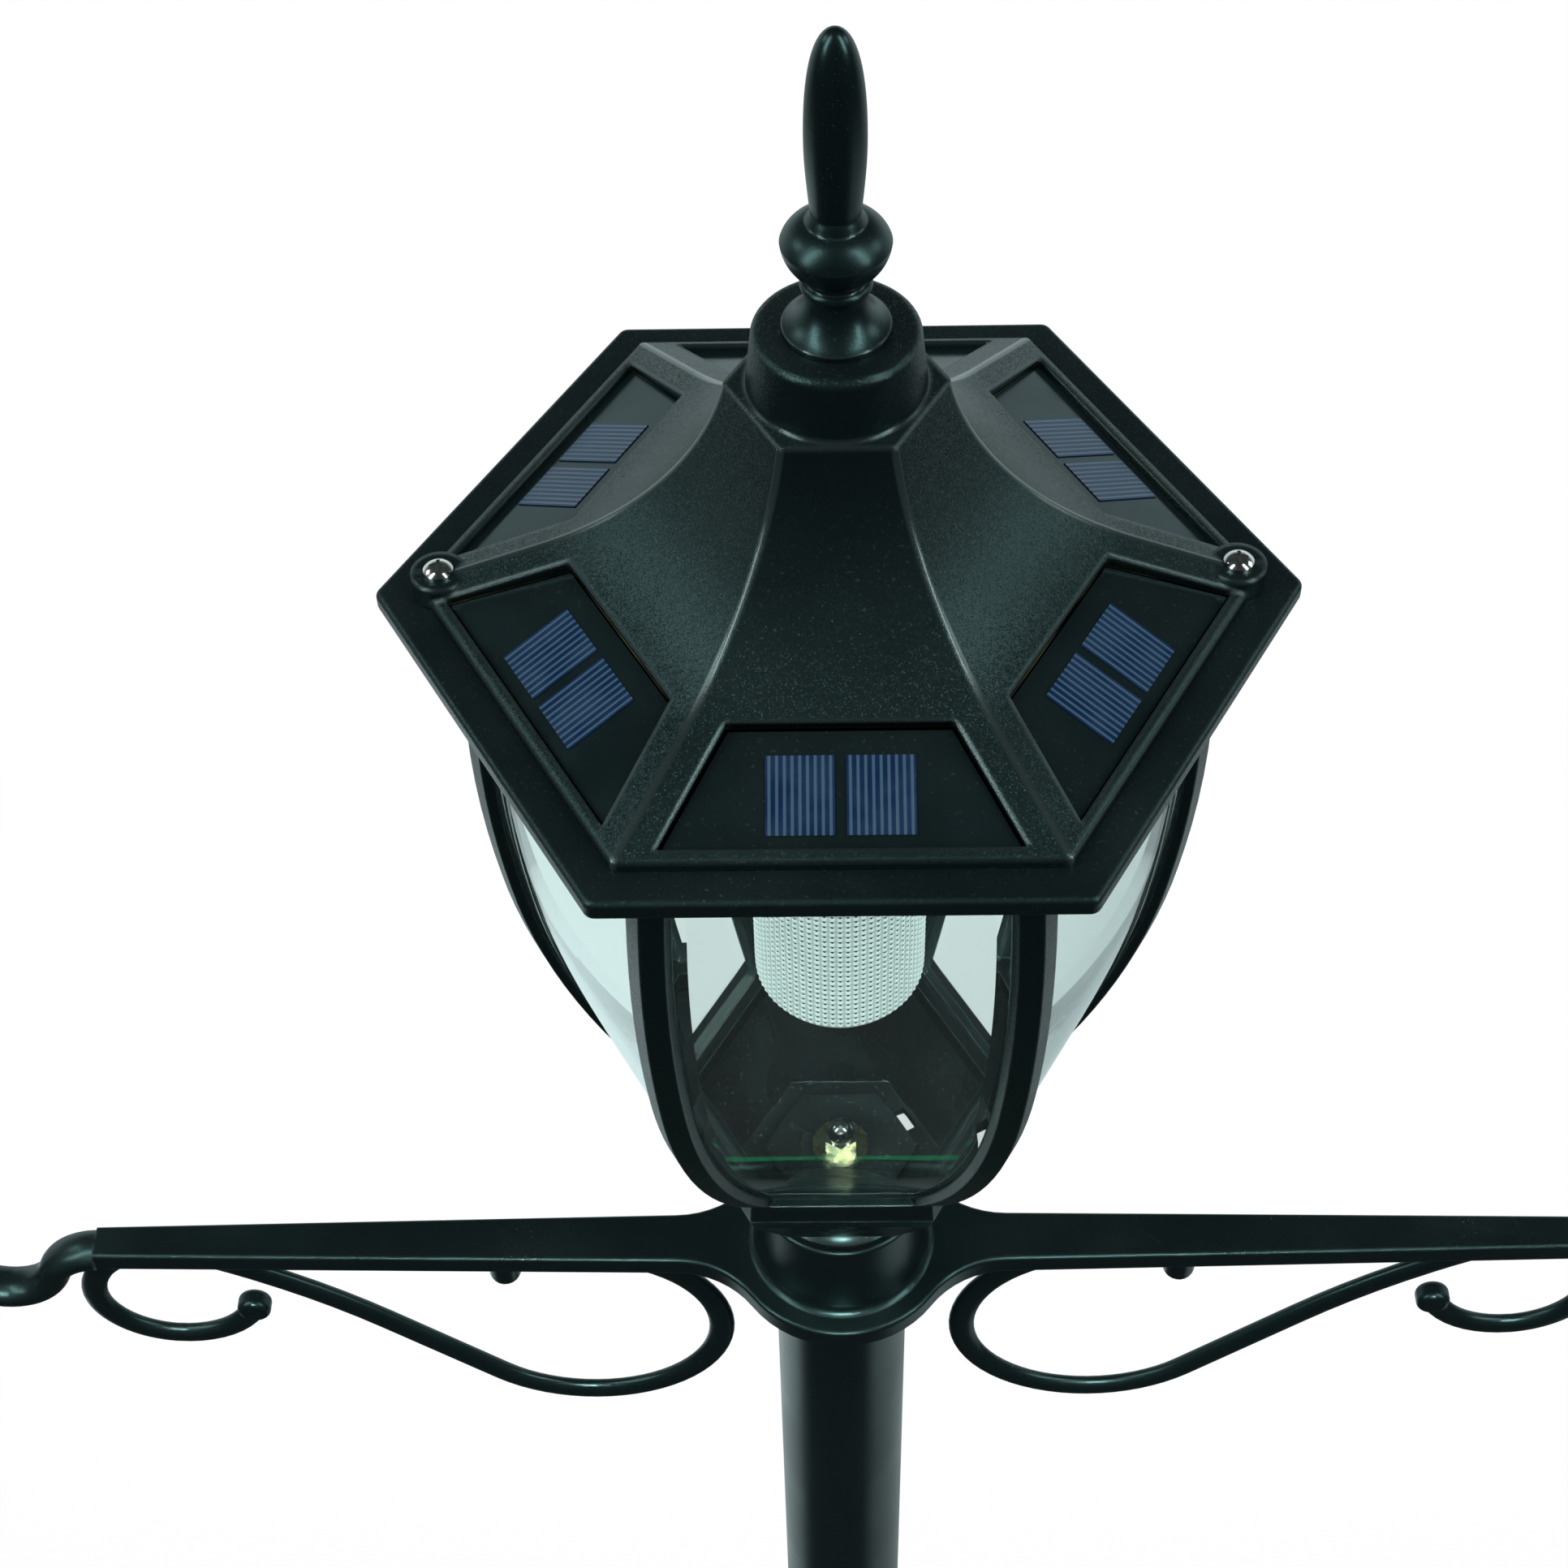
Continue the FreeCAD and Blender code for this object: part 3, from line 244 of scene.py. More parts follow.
class Effects:
    """The effects that several finishes share, each a node group that is made once."""

    FINER = 1.7
    # The glint mask marks the grain tops that are painted lighter, which is a painted highlight and not a colour of
    # the paint.
    GLINT_START, GLINT_SHARE, GLINT_GAIN = 0.78, 0.3, 9.0
    CLOUD_RANGE = (0.32, 0.68)
    PATCH_SCALE, PATCH_RANGE, PATCH_LEAST = 22.0, (0.38, 0.75), 0.25
    SPECK_SCALE, SPECK_RANGE, SPECK_GAIN, SPECK_LEAST = 900.0, (0.66, 0.74), 2.0, 0.5
    LYING_RANGE = (0.1, 0.9)

    def __init__(self) -> None:
        """Makes all groups."""
        self.grain = self._grain()
        self.flakes = self._flakes()
        self.clouds = self._clouds()
        self.dust = self._dust()
        self.facet = self._facet()

    def _grain(self) -> bpy.types.NodeTree:
        """Pimpled surface of powder paint: a height, and a mask of the tops where a glint is painted into the
        colour as a highlight.

        Returns:
            The node group.
        """
        graph, given, made = new_group("paint_grain", {"Scale": 2000.0, "Share": 0.3}, ("Height", "Glint"))
        place = graph.node("TexCoord").outputs["Object"]
        grains = graph.node("TexNoise", {"Vector": place, "Scale": given.outputs["Scale"], "Detail": 2.0})
        finer = graph.math("MULTIPLY", given.outputs["Scale"], self.FINER)
        specks = graph.node("TexNoise", {"Vector": place, "Scale": finer, "Detail": 1.0})
        lowered = graph.math("MULTIPLY", given.outputs["Share"], self.GLINT_SHARE)
        above = graph.math("SUBTRACT", specks.outputs["Fac"], graph.math("SUBTRACT", self.GLINT_START, lowered))
        graph.feed(made.inputs["Height"], grains.outputs["Fac"])
        graph.feed(made.inputs["Glint"], graph.math("MULTIPLY", above, self.GLINT_GAIN, clamp=True))
        return graph.tree

    def _flakes(self) -> bpy.types.NodeTree:
        """Small grains that each lean their own way, most of them hardly and a few a lot.

        Returns:
            The node group; its output is the lean, to be added to the normal.
        """
        usual = {"Scale": 3600.0, "Amount": 0.2}
        graph, given, made = new_group("sand_flakes", usual, ("Lean",), "NodeSocketVector")
        place = graph.node("TexCoord").outputs["Object"]
        cells = graph.node("TexVoronoi", {"Vector": place, "Scale": given.outputs["Scale"]}).outputs["Color"]
        lean = graph.vector("MULTIPLY_ADD", cells, (2.0, 2.0, 2.0), (-1.0, -1.0, -1.0))
        cubed = graph.vector("MULTIPLY", lean, graph.vector("MULTIPLY", lean, lean))
        scaled = graph.node("VectorMath", {0: cubed, "Scale": given.outputs["Amount"]}, operation="SCALE")
        graph.feed(made.inputs["Lean"], scaled.outputs["Vector"])
        return graph.tree

    def _clouds(self) -> bpy.types.NodeTree:
        """Slow change over a surface, as from uneven spraying and handling.

        Returns:
            The node group.
        """
        graph, given, made = new_group("soft_clouds", {"Scale": 14.0}, ("Value",))
        place = graph.node("TexCoord").outputs["Object"]
        noise = graph.node("TexNoise", {"Vector": place, "Scale": given.outputs["Scale"], "Detail": 5.0})
        graph.feed(made.inputs["Value"], graph.ramp(noise.outputs["Fac"], *self.CLOUD_RANGE))
        return graph.tree

    def _dust(self) -> bpy.types.NodeTree:
        """Dust that settles on faces that look up, in patches with fine specks.

        Returns:
            The node group.
        """
        graph, given, made = new_group("settled_dust", {"Amount": 0.2}, ("Mask",))
        source = graph.node("TexCoord").outputs
        rise = graph.node("SeparateXYZ", {0: source["Normal"]}).outputs["Z"]
        patches = graph.node("TexNoise", {"Vector": source["Object"], "Scale": self.PATCH_SCALE, "Detail": 6.0})
        specks = graph.node("TexNoise", {"Vector": source["Object"], "Scale": self.SPECK_SCALE, "Detail": 1.0})
        spread = graph.math("ADD", graph.ramp(patches.outputs["Fac"], *self.PATCH_RANGE), self.PATCH_LEAST)
        points = graph.ramp(specks.outputs["Fac"], *self.SPECK_RANGE, 0.0, self.SPECK_GAIN)
        patchy = graph.math("MULTIPLY", spread, graph.math("ADD", points, self.SPECK_LEAST))
        lying = graph.math("MULTIPLY", graph.ramp(rise, *self.LYING_RANGE), given.outputs["Amount"])
        graph.feed(made.inputs["Mask"], graph.math("MULTIPLY", patchy, lying, clamp=True))
        return graph.tree

    def _facet(self) -> bpy.types.NodeTree:
        """Place on a six-sided roof: along and across the facet, and whether it is one of the four at the sides.

        Returns:
            The node group.
        """
        graph, _, made = new_group("roof_facet", {}, ("Out", "Across", "Side"))
        place = graph.place()
        x, y = place["X"], place["Y"]
        angle = graph.math("ADD", graph.math("ARCTAN2", y, x), 2 * math.pi)
        folded = graph.math("SUBTRACT", graph.math("MODULO", angle, 2 * HALF_FACET), HALF_FACET)
        reach = graph.hypot(x, y)
        graph.feed(made.inputs["Out"], graph.math("MULTIPLY", reach, graph.math("COSINE", folded)))
        graph.feed(made.inputs["Across"], graph.math("MULTIPLY", reach, graph.math("SINE", folded)))
        lane = graph.math("MULTIPLY", graph.math("ABSOLUTE", y), FACET_SLOPE)
        graph.feed(made.inputs["Side"], graph.math("GREATER_THAN", graph.math("ABSOLUTE", x), lane))
        return graph.tree


@dataclass(frozen=True)
class Brush:
    """What a finish paints with: the material's tree, its shader and output, and the shared effects."""

    graph: Graph
    shader: Node
    output: Node
    effects: Effects

    def put(self, socket: str, value: Any) -> None:
        """Feeds one of the shader's sockets."""
        self.graph.feed(self.shader.inputs[socket], value)

    def wander(self, socket: str, share: Any, span: Span) -> None:
        """Feeds a socket with a value that goes through a span as a share goes from 0 to 1."""
        self.put(socket, self.graph.ramp(share, 0.0, 1.0, *span))

    def effect(self, tree: bpy.types.NodeTree, **inputs: Any) -> Any:
        """Places a shared effect with its own values and returns its outputs."""
        return self.graph.node("Group", inputs, node_tree=tree).outputs

    def clouds(self, scale: float) -> Socket:
        """Places the slow clouds at a scale and returns their value."""
        return self.effect(self.effects.clouds, Scale=scale)["Value"]

    def hip_distance(self, facet: Any) -> Socket:
        """How far a place on the roof is from the nearest hip, measured across its facet."""
        lane = self.graph.math("MULTIPLY", facet["Out"], FACET_SLOPE)
        return self.graph.math("SUBTRACT", lane, self.graph.math("ABSOLUTE", facet["Across"]))

    def pass_shadow(self, share: float) -> None:
        """Lets a share of the light through where the piece would cast its shadow."""
        shadow = self.graph.node("LightPath").outputs["Is Shadow Ray"]
        self.put("Alpha", self.graph.math("SUBTRACT", 1.0, self.graph.math("MULTIPLY", shadow, share)))

    def bump(self, height: Any, depth: float) -> Node:
        """Raises the surface by a height field.

        Args:
            height: the output that gives the height.
            depth: how far a height of 1 stands out, in metres.

        Returns:
            The Bump node.
        """
        made = self.graph.node("Bump", {"Height": height, "Strength": 1.0, "Distance": depth})
        self.put("Normal", made.outputs["Normal"])
        return made


@dataclass(frozen=True)
class Finish:
    """What every finish has: its slot, and a Principled shader that its own nodes feed."""

    slot: Slot

    def material(self, effects: Effects) -> bpy.types.Material:
        """Makes the material.

        Args:
            effects: the shared node groups.

        Returns:
            The material.
        """
        made = bpy.data.materials.new(self.slot.value)
        made.use_nodes = True
        graph = Graph(made.node_tree)
        shader = graph.node("BsdfPrincipled")
        output = graph.node("OutputMaterial", {"Surface": shader.outputs["BSDF"]})
        self.paint(Brush(graph, shader, output, effects))
        return made

    def paint(self, brush: Brush) -> None:
        """Feeds the shader; each finish has its own way."""
        raise NotImplementedError


@dataclass(frozen=True)
class Coat(Finish):
    """Black paint or moulded black: a grain whose glinting tops are painted highlights, lighter edges that are
    partly wear and partly painted highlight, slow clouds of gloss and a little dust.
    """

    tone: Tone = (0.0018, 0.0036, 0.0041)
    # painted highlight: the lighter colour of the grain tops that glint
    light: Tone = (0.030, 0.041, 0.043)
    # lighter colour of the edges: partly rubbed paint, partly a painted highlight on edges and hips
    edge_wear_and_highlight: Tone = (0.010, 0.015, 0.016)
    rough: Span = (0.26, 0.33)
    cloud: float = 14.0
    specular: Span = (0.5, 0.85)
    tint: Tone = (0.52, 0.97, 0.97)
    edge_tint: Tone = (0.72, 1.0, 1.0)
    grain: float = 1500.0
    # how many grain tops get the painted glint highlight
    share: float = 0.25
    depth: float = 0.02 * MM
    dust: float = 0.05
    dust_tone: Tone = (0.125, 0.165, 0.165)
    edge: float = 0.9 * MM
    edge_bend: Span = (0.945, 0.995)
    edge_samples: int = 6
    polish: float = 0.6
    flake: float = 0.0
    flake_fade: Span = (0.0, 0.5)
    ridge: Span | None = None
    ridge_top: float = 1650 * MM
    ridge_coat: float = 0.7
    ridge_rough: float = 0.2

    def paint(self, brush: Brush) -> None:
        """Mixes the tone with painted highlights on the grain tops, with edges painted lighter as wear and as
        highlight, and with dust, and lets the gloss wander.

        An edge is where the rounded normal leaves the face's own. A finish with a ridge also takes the lines where
        two facets of the roof meet as edges, gives them a clear coat, and so also paints them lighter as a
        highlight.

        Args:
            brush: what the finish paints with.
        """
        graph, effects = brush.graph, brush.effects
        soft = graph.node("Bevel", {"Radius": self.edge}, samples=self.edge_samples).outputs["Normal"]
        flat = graph.node("NewGeometry").outputs["Normal"]
        bent = graph.node("VectorMath", {0: soft, 1: flat}, operation="DOT_PRODUCT").outputs["Value"]
        edge = graph.ramp(bent, *self.edge_bend, 1.0, 0.0)
        brush.wander("Specular IOR Level", edge, self.specular)
        brush.put("Specular Tint", graph.blend(edge, self.tint, self.edge_tint))
        if self.ridge:
            away = brush.hip_distance(brush.effect(effects.facet))
            below = graph.math("LESS_THAN", graph.place()["Z"], self.ridge_top)
            line = graph.math("MULTIPLY", graph.ramp(away, *self.ridge, 1.0, 0.0), below)
            # the hip lines count as edges, so they also take the lighter edge colour as a painted highlight line
            edge = graph.math("MAXIMUM", edge, line)
            brush.put("Coat Weight", graph.math("MULTIPLY", line, self.ridge_coat))
            brush.put("Coat Roughness", self.ridge_rough)
        if self.flake > 0:
            amount = graph.ramp(edge, *self.flake_fade, self.flake, 0.0)
            lean = brush.effect(effects.flakes, Amount=amount)["Lean"]
            soft = graph.vector("NORMALIZE", graph.vector("ADD", soft, lean))
        grain = brush.effect(effects.grain, Scale=self.grain, Share=self.share)
        dust = brush.effect(effects.dust, Amount=self.dust)["Mask"]
        # painted highlight: glinting grain tops take the light tone, and edges and hip lines take a lighter tone
        # that is partly wear
        painted = graph.blend(grain["Glint"], graph.blend(edge, self.tone, self.edge_wear_and_highlight), self.light)
        brush.put("Base Color", graph.blend(dust, painted, self.dust_tone))
        smoother = graph.ramp(edge, 0.0, 1.0, 1.0, self.polish)
        gloss = graph.ramp(brush.clouds(self.cloud), 0.0, 1.0, *self.rough)
        brush.put("Roughness", graph.math("MULTIPLY", gloss, smoother))
        graph.feed(brush.bump(grain["Height"], self.depth).inputs["Normal"], soft)


@dataclass(frozen=True)
class Metal(Finish):
    """Bare or plated metal with a fine grain and stains."""

    tone: Tone = (0.82, 0.82, 0.79)
    stain: Tone = (0.70, 0.69, 0.65)
    rough: Span = (0.16, 0.26)
    cloud: float = 260.0
    grain: float = 4000.0
    depth: float = 0.004 * MM

    def paint(self, brush: Brush) -> None:
        """Stains the metal in patches and roughens it where it is stained.

        Args:
            brush: what the finish paints with.
        """
        clouds = brush.clouds(self.cloud)
        brush.put("Base Color", brush.graph.blend(clouds, self.tone, self.stain))
        brush.wander("Roughness", clouds, self.rough)
        brush.put("Metallic", 1.0)
        brush.bump(brush.effect(brush.effects.grain, Scale=self.grain)["Height"], self.depth)


@dataclass(frozen=True)
class Clear(Finish):
    """Clear glass with a faint haze of handling; thick edges turn green where it absorbs."""

    tone: Tone = (0.885, 0.945, 0.94)
    index: float = 1.5
    rough: Span = (0.0, 0.01)
    through: float = 0.995
    haze: Span = (0.45, 1.0)
    cloud: float = 30.0
    absorb: Tone = (0.45, 0.88, 0.76)
    density: float = 28.0
    shade: float = 0.9

    def paint(self, brush: Brush) -> None:
        """Lets light through, and most of it also past the piece's shadow.

        Args:
            brush: what the finish paints with.
        """
        brush.put("Base Color", self.tone)
        brush.put("Roughness", brush.graph.ramp(brush.clouds(self.cloud), *self.haze, *self.rough))
        brush.put("IOR", self.index)
        brush.put("Transmission Weight", self.through)
        brush.pass_shadow(self.shade)
        volume = brush.graph.node("VolumeAbsorption", {"Color": self.absorb, "Density": self.density})
        brush.graph.feed(brush.output.inputs["Volume"], volume.outputs["Volume"])


@dataclass(frozen=True)
class Prism(Finish):
    """Silvery clear plastic whose small pyramids have a painted white highlight on top and a painted dark point of
    shade on their lower side.
    """

    # white of the painted highlights on the pyramids, and of the smooth closed end
    tone: Tone = (0.98, 1.0, 1.0)
    # grey between the highlights: painted shade in the valleys between pyramids
    valley_shade: Tone = (0.62, 0.68, 0.68)
    # painted shade: the dark point on the lower side of each pyramid
    point: Tone = (0.02, 0.03, 0.032)
    rough: Span = (0.06, 0.14)
    cloud: float = 70.0
    cloud_fade: Span = (1.0, 0.9)
    columns: int = LENS_PRISMS
    pitch: float = 2.2978 * MM
    first: float = 1425.70 * MM
    low: float = 1421.0 * MM
    highlight_rise: float = 0.12
    highlight_reach: Span = (0.25, 0.55)
    shade_point_drop: float = 0.42
    shade_point_reach: Span = (0.16, 0.30)
    index: float = 1.49
    through: float = 0.15
    shade: float = 0.8

    def paint(self, brush: Brush) -> None:
        """Draws the painted highlights and painted dark points by angle and height, fading out towards the smooth
        rim of the closed end.

        Args:
            brush: what the finish paints with.
        """
        graph = brush.graph
        place = graph.place()
        turns = graph.math("MULTIPLY", graph.math("ARCTAN2", place["Y"], place["X"]), self.columns / 2 / math.pi)
        aside = graph.stray(graph.math("SUBTRACT", turns, 0.5))
        rows = graph.math("DIVIDE", graph.math("SUBTRACT", place["Z"], self.first), self.pitch)
        faded = graph.ramp(place["Z"], self.low, self.low + self.pitch)
        # painted highlight above and painted shade point below each pyramid, in place of light refracted by the
        # relief
        tops = self.spots(graph, aside, graph.math("SUBTRACT", rows, self.highlight_rise), self.highlight_reach)
        points = self.spots(graph, aside, graph.math("ADD", rows, self.shade_point_drop), self.shade_point_reach)
        clouds = brush.clouds(self.cloud)
        shown = graph.math("MAXIMUM", tops, graph.math("SUBTRACT", 1.0, faded))
        highlight_mask = graph.math("MULTIPLY", shown, graph.ramp(clouds, 0.0, 1.0, *self.cloud_fade))
        silver_lit_and_shaded = graph.blend(highlight_mask, self.valley_shade, self.tone)
        brush.put("Base Color", graph.blend(graph.math("MULTIPLY", points, faded), silver_lit_and_shaded, self.point))
        brush.wander("Roughness", clouds, self.rough)
        brush.put("IOR", self.index)
        brush.put("Transmission Weight", self.through)
        brush.pass_shadow(self.shade)

    @staticmethod
    def spots(graph: Graph, aside: Any, rows: Any, reach: Span) -> Socket:
        """A mask of round spots, one in the middle of each column and on each whole row.

        Args:
            graph: the tree that gets the nodes.
            aside: distance from the middle of the column, as a share of its width.
            rows: place up the lens, counted in rows.
            reach: where a spot begins to fade and where it ends, as shares of a cell.

        Returns:
            The mask.
        """
        return graph.ramp(graph.hypot(aside, graph.stray(rows)), *reach, 1.0, 0.0)


@dataclass(frozen=True)
class Laminate(Finish):
    """Black solar board under a glossy film, with painted shade along its upper edges for the gap to the frame, at
    the sides with a bare line of board.
    """

    tone: Tone = (0.0036, 0.0072, 0.0080)
    bare: Tone = (0.055, 0.045, 0.02)
    # painted shade: the near-black colour of the gap between board and frame
    gap_shade_tone: Tone = (0.0006, 0.0008, 0.0008)
    dust: float = 0.03
    dust_tone: Tone = (0.15, 0.16, 0.16)
    rough: Span = (0.13, 0.24)
    tint: Tone = (0.5, 0.95, 1.0)
    cloud: float = 40.0
    depth: float = 0.02 * MM
    top: float = 61.74 * MM
    strip: float = 8.5 * MM
    line: Span = (0.22 * MM, 0.352 * MM)
    # reach of the painted gap shade from the top and side edges
    shaded_gap: Span = (0.6 * MM, 0.78 * MM)

    def paint(self, brush: Brush) -> None:
        """Draws the painted gap shade and the bare line where the nearest of the top and side edges is closer than
        their widths.

        The painted shade is dark and metallic, so that it mirrors next to nothing.

        Args:
            brush: what the finish paints with.
        """
        graph = brush.graph
        facet = brush.effect(brush.effects.facet)
        clouds = brush.clouds(self.cloud)
        dust = brush.effect(brush.effects.dust, Amount=self.dust)["Mask"]
        side = graph.math("SUBTRACT", brush.hip_distance(facet), self.strip)
        near = graph.math("MINIMUM", side, graph.math("SUBTRACT", facet["Out"], self.top))
        line = graph.math("MULTIPLY", graph.ramp(near, *self.line, 1.0, 0.0), facet["Side"])
        bare = graph.math("MULTIPLY", line, clouds)
        # painted shade along the edges where the gap to the frame is not modelled; it is also metallic so that it
        # mirrors nothing
        shaded_gap = graph.ramp(near, *self.shaded_gap, 1.0, 0.0)
        dusty_and_shaded = graph.blend(shaded_gap, graph.blend(dust, self.tone, self.dust_tone), self.gap_shade_tone)
        brush.put("Base Color", graph.blend(bare, dusty_and_shaded, self.bare))
        brush.wander("Roughness", clouds, self.rough)
        brush.put("Metallic", graph.math("MULTIPLY", shaded_gap, graph.math("SUBTRACT", 1.0, bare)))
        brush.put("Specular Tint", self.tint)
        brush.bump(clouds, self.depth)


@dataclass(frozen=True)
class Wafer(Finish):
    """Blue silicon with pale printed fingers that run up the slope."""

    tone: Tone = (0.0025, 0.0120, 0.0420)
    fresh: Tone = (0.0045, 0.0200, 0.0600)
    finger: Tone = (0.032, 0.072, 0.110)
    rough: Span = (0.18, 0.28)
    cloud: float = 90.0
    depth: float = 0.03 * MM
    pitch: float = 1.84 * MM
    centre: float = 9.7 * MM
    finger_reach: Span = (0.119, 0.255)

    def paint(self, brush: Brush) -> None:
        """Draws a finger where the distance across the wafer is near a multiple of the pitch.

        Args:
            brush: what the finish paints with.
        """
        graph = brush.graph
        facet = brush.effect(brush.effects.facet)
        clouds = brush.clouds(self.cloud)
        across = graph.math("SUBTRACT", graph.math("ABSOLUTE", facet["Across"]), self.centre)
        offset = graph.math("ABSOLUTE", graph.stray(graph.math("DIVIDE", across, self.pitch)))
        line = graph.ramp(offset, *self.finger_reach, 1.0, 0.0)
        brush.put("Base Color", graph.blend(line, graph.blend(clouds, self.tone, self.fresh), self.finger))
        brush.wander("Roughness", clouds, self.rough)
        brush.bump(line, self.depth)


@dataclass(frozen=True)
class Plain(Finish):
    """Moulded or coated inner pieces: a colour with slow change and a fine grain."""

    tone: Tone
    other: Tone
    rough: Span = (0.35, 0.5)
    cloud: float = 120.0
    grain: float = 2500.0
    depth: float = 0.01 * MM

    def paint(self, brush: Brush) -> None:
        """Mixes the two tones in clouds and adds the grain.

        Args:
            brush: what the finish paints with.
        """
        clouds = brush.clouds(self.cloud)
        brush.put("Base Color", brush.graph.blend(clouds, self.tone, self.other))
        brush.wander("Roughness", clouds, self.rough)
        brush.bump(brush.effect(brush.effects.grain, Scale=self.grain)["Height"], self.depth)


FINISHES: tuple[Finish, ...] = (
    Coat(Slot.SATIN_BLACK),
    Coat(Slot.GLOSS_BLACK, rough=(0.12, 0.3), grain=900.0, share=0.1, depth=0.01 * MM, dust=0.6),
    Coat(
        Slot.SAND_BLACK,
        rough=(0.30, 0.36),
        grain=2100.0,
        share=0.2,
        edge=2.4 * MM,
        flake=0.2,
        ridge=(0.8 * MM, 1.6 * MM),
    ),
    Coat(Slot.SAND_BLACK_METAL, rough=(0.34, 0.42), grain=2100.0, share=0.2, flake=0.15),
    Clear(Slot.PANE_GLASS),
    Prism(Slot.LENS_CLEAR),
    Laminate(Slot.PANEL_LAMINATE),
    Wafer(Slot.CELL_SILICON),
    Metal(Slot.NICKEL, stain=(0.77, 0.77, 0.74), rough=(0.10, 0.18)),
    Metal(Slot.YELLOW_ZINC, tone=(0.66, 0.56, 0.30), stain=(0.42, 0.47, 0.30), rough=(0.22, 0.38)),
    Metal(Slot.PLAIN_STEEL, tone=(0.52, 0.52, 0.50), stain=(0.30, 0.29, 0.27), rough=(0.3, 0.45)),
    Plain(Slot.INNER_BLACK, tone=(0.012, 0.013, 0.014), other=(0.022, 0.023, 0.024)),
    Plain(Slot.BOARD_GREEN, tone=(0.010, 0.085, 0.030), other=(0.016, 0.11, 0.040), rough=(0.25, 0.4)),
    Plain(Slot.BOARD_WHITE, tone=(0.72, 0.73, 0.71), other=(0.63, 0.64, 0.62)),
    Plain(Slot.LED_RESIN, tone=(0.86, 0.78, 0.42), other=(0.80, 0.70, 0.34), rough=(0.15, 0.25)),
    Plain(Slot.BATTERY_SLEEVE, tone=(0.03, 0.10, 0.28), other=(0.04, 0.13, 0.33), rough=(0.2, 0.3)),
    Plain(Slot.SLIDER_WHITE, tone=(0.70, 0.70, 0.68), other=(0.62, 0.62, 0.60)),
)


@dataclass
class Shape:
    """A mesh in arrays: points, and faces of three or four corners."""

    points: np.ndarray
    triangles: np.ndarray = field(default_factory=lambda: np.zeros((0, 3), int))
    quads: np.ndarray = field(default_factory=lambda: np.zeros((0, 4), int))

    def joined(self, other: Shape) -> Shape:
        """This shape and another one in a single mesh.

        Args:
            other: the second shape.

        Returns:
            The two together.
        """
        shift = len(self.points)
        return Shape(
            np.vstack([self.points, other.points]),
            np.vstack([self.triangles, other.triangles + shift]),
            np.vstack([self.quads, other.quads + shift]),
        )

    def turned(self, angle: float) -> Shape:
        """The shape turned about the upright axis by an angle."""
        c, s = math.cos(angle), math.sin(angle)
        return Shape(self.points @ np.array([[c, s, 0], [-s, c, 0], [0, 0, 1]]), self.triangles, self.quads)

    def piece(self, name: str, crease: float) -> bpy.types.Object:
        """Puts the arrays into a mesh object at the origin.

        Args:
            name: the piece's name.
            crease: edges that turn by more than this angle, in degrees, stay sharp.

        Returns:
            The object, linked to the scene.
        """
        mesh = bpy.data.meshes.new(name)
        sizes = np.concatenate([np.full(len(self.triangles), 3), np.full(len(self.quads), 4)])
        corners = np.concatenate([self.triangles.ravel(), self.quads.ravel()])
        starts = np.concatenate([[0], np.cumsum(sizes)[:-1]])
        mesh.vertices.add(len(self.points))
        mesh.vertices.foreach_set("co", self.points.astype(np.float32).ravel())
        mesh.loops.add(len(corners))
        mesh.loops.foreach_set("vertex_index", corners.astype(np.int32))
        mesh.polygons.add(len(sizes))
        mesh.polygons.foreach_set("loop_start", starts.astype(np.int32))
        mesh.polygons.foreach_set("use_smooth", np.ones(len(sizes), bool))
        mesh.update(calc_edges=True)
        mesh.validate()
        mesh.set_sharp_from_angle(angle=math.radians(crease))
        made = bpy.data.objects.new(name, mesh)
        bpy.context.scene.collection.objects.link(made)
        return made


def arc(start: Span, end: Span, radius: float, steps: int) -> np.ndarray:
    """Points on the short left-hand arc from start to end, found from its centre beside the chord.

    Args:
        start: first point.
        end: last point.
        radius: the arc's radius.
        steps: how many spans.

    Returns:
        An array of steps + 1 points.
    """
    a, b = np.array(start), np.array(end)
    chord = b - a
    length = np.hypot(*chord)
    centre = (a + b) / 2 + np.array([-chord[1], chord[0]]) / length * math.sqrt(radius**2 - length**2 / 4)
    angles = np.unwrap([math.atan2(*(p - centre)[::-1]) for p in (a, b)])
    turn = np.linspace(*angles, steps + 1)
    return centre + radius * np.column_stack([np.cos(turn), np.sin(turn)])


def slab(front: np.ndarray, back: np.ndarray) -> Shape:
    """A closed plate between two grids of points, with a wall all round.

    Args:
        front: rows x columns x 3, its faces looking outwards when rows go up and columns go right.
        back: the grid behind it, of the same size.

    Returns:
        The closed shape.
    """
    rows, columns = front.shape[:2]
    index = np.arange(rows * columns).reshape(rows, columns)
    face = np.stack([index[:-1, :-1], index[:-1, 1:], index[1:, 1:], index[1:, :-1]], -1).reshape(-1, 4)
    rim = np.concatenate([index[0, :-1], index[:-1, -1], index[-1, :0:-1], index[:0:-1, 0]])
    after, shift = np.roll(rim, -1), rows * columns
    wall = np.column_stack([after, rim, rim + shift, after + shift])
    points = np.vstack([front.reshape(-1, 3), back.reshape(-1, 3)])
    return Shape(points, quads=np.vstack([face, face[:, ::-1] + shift, wall]))


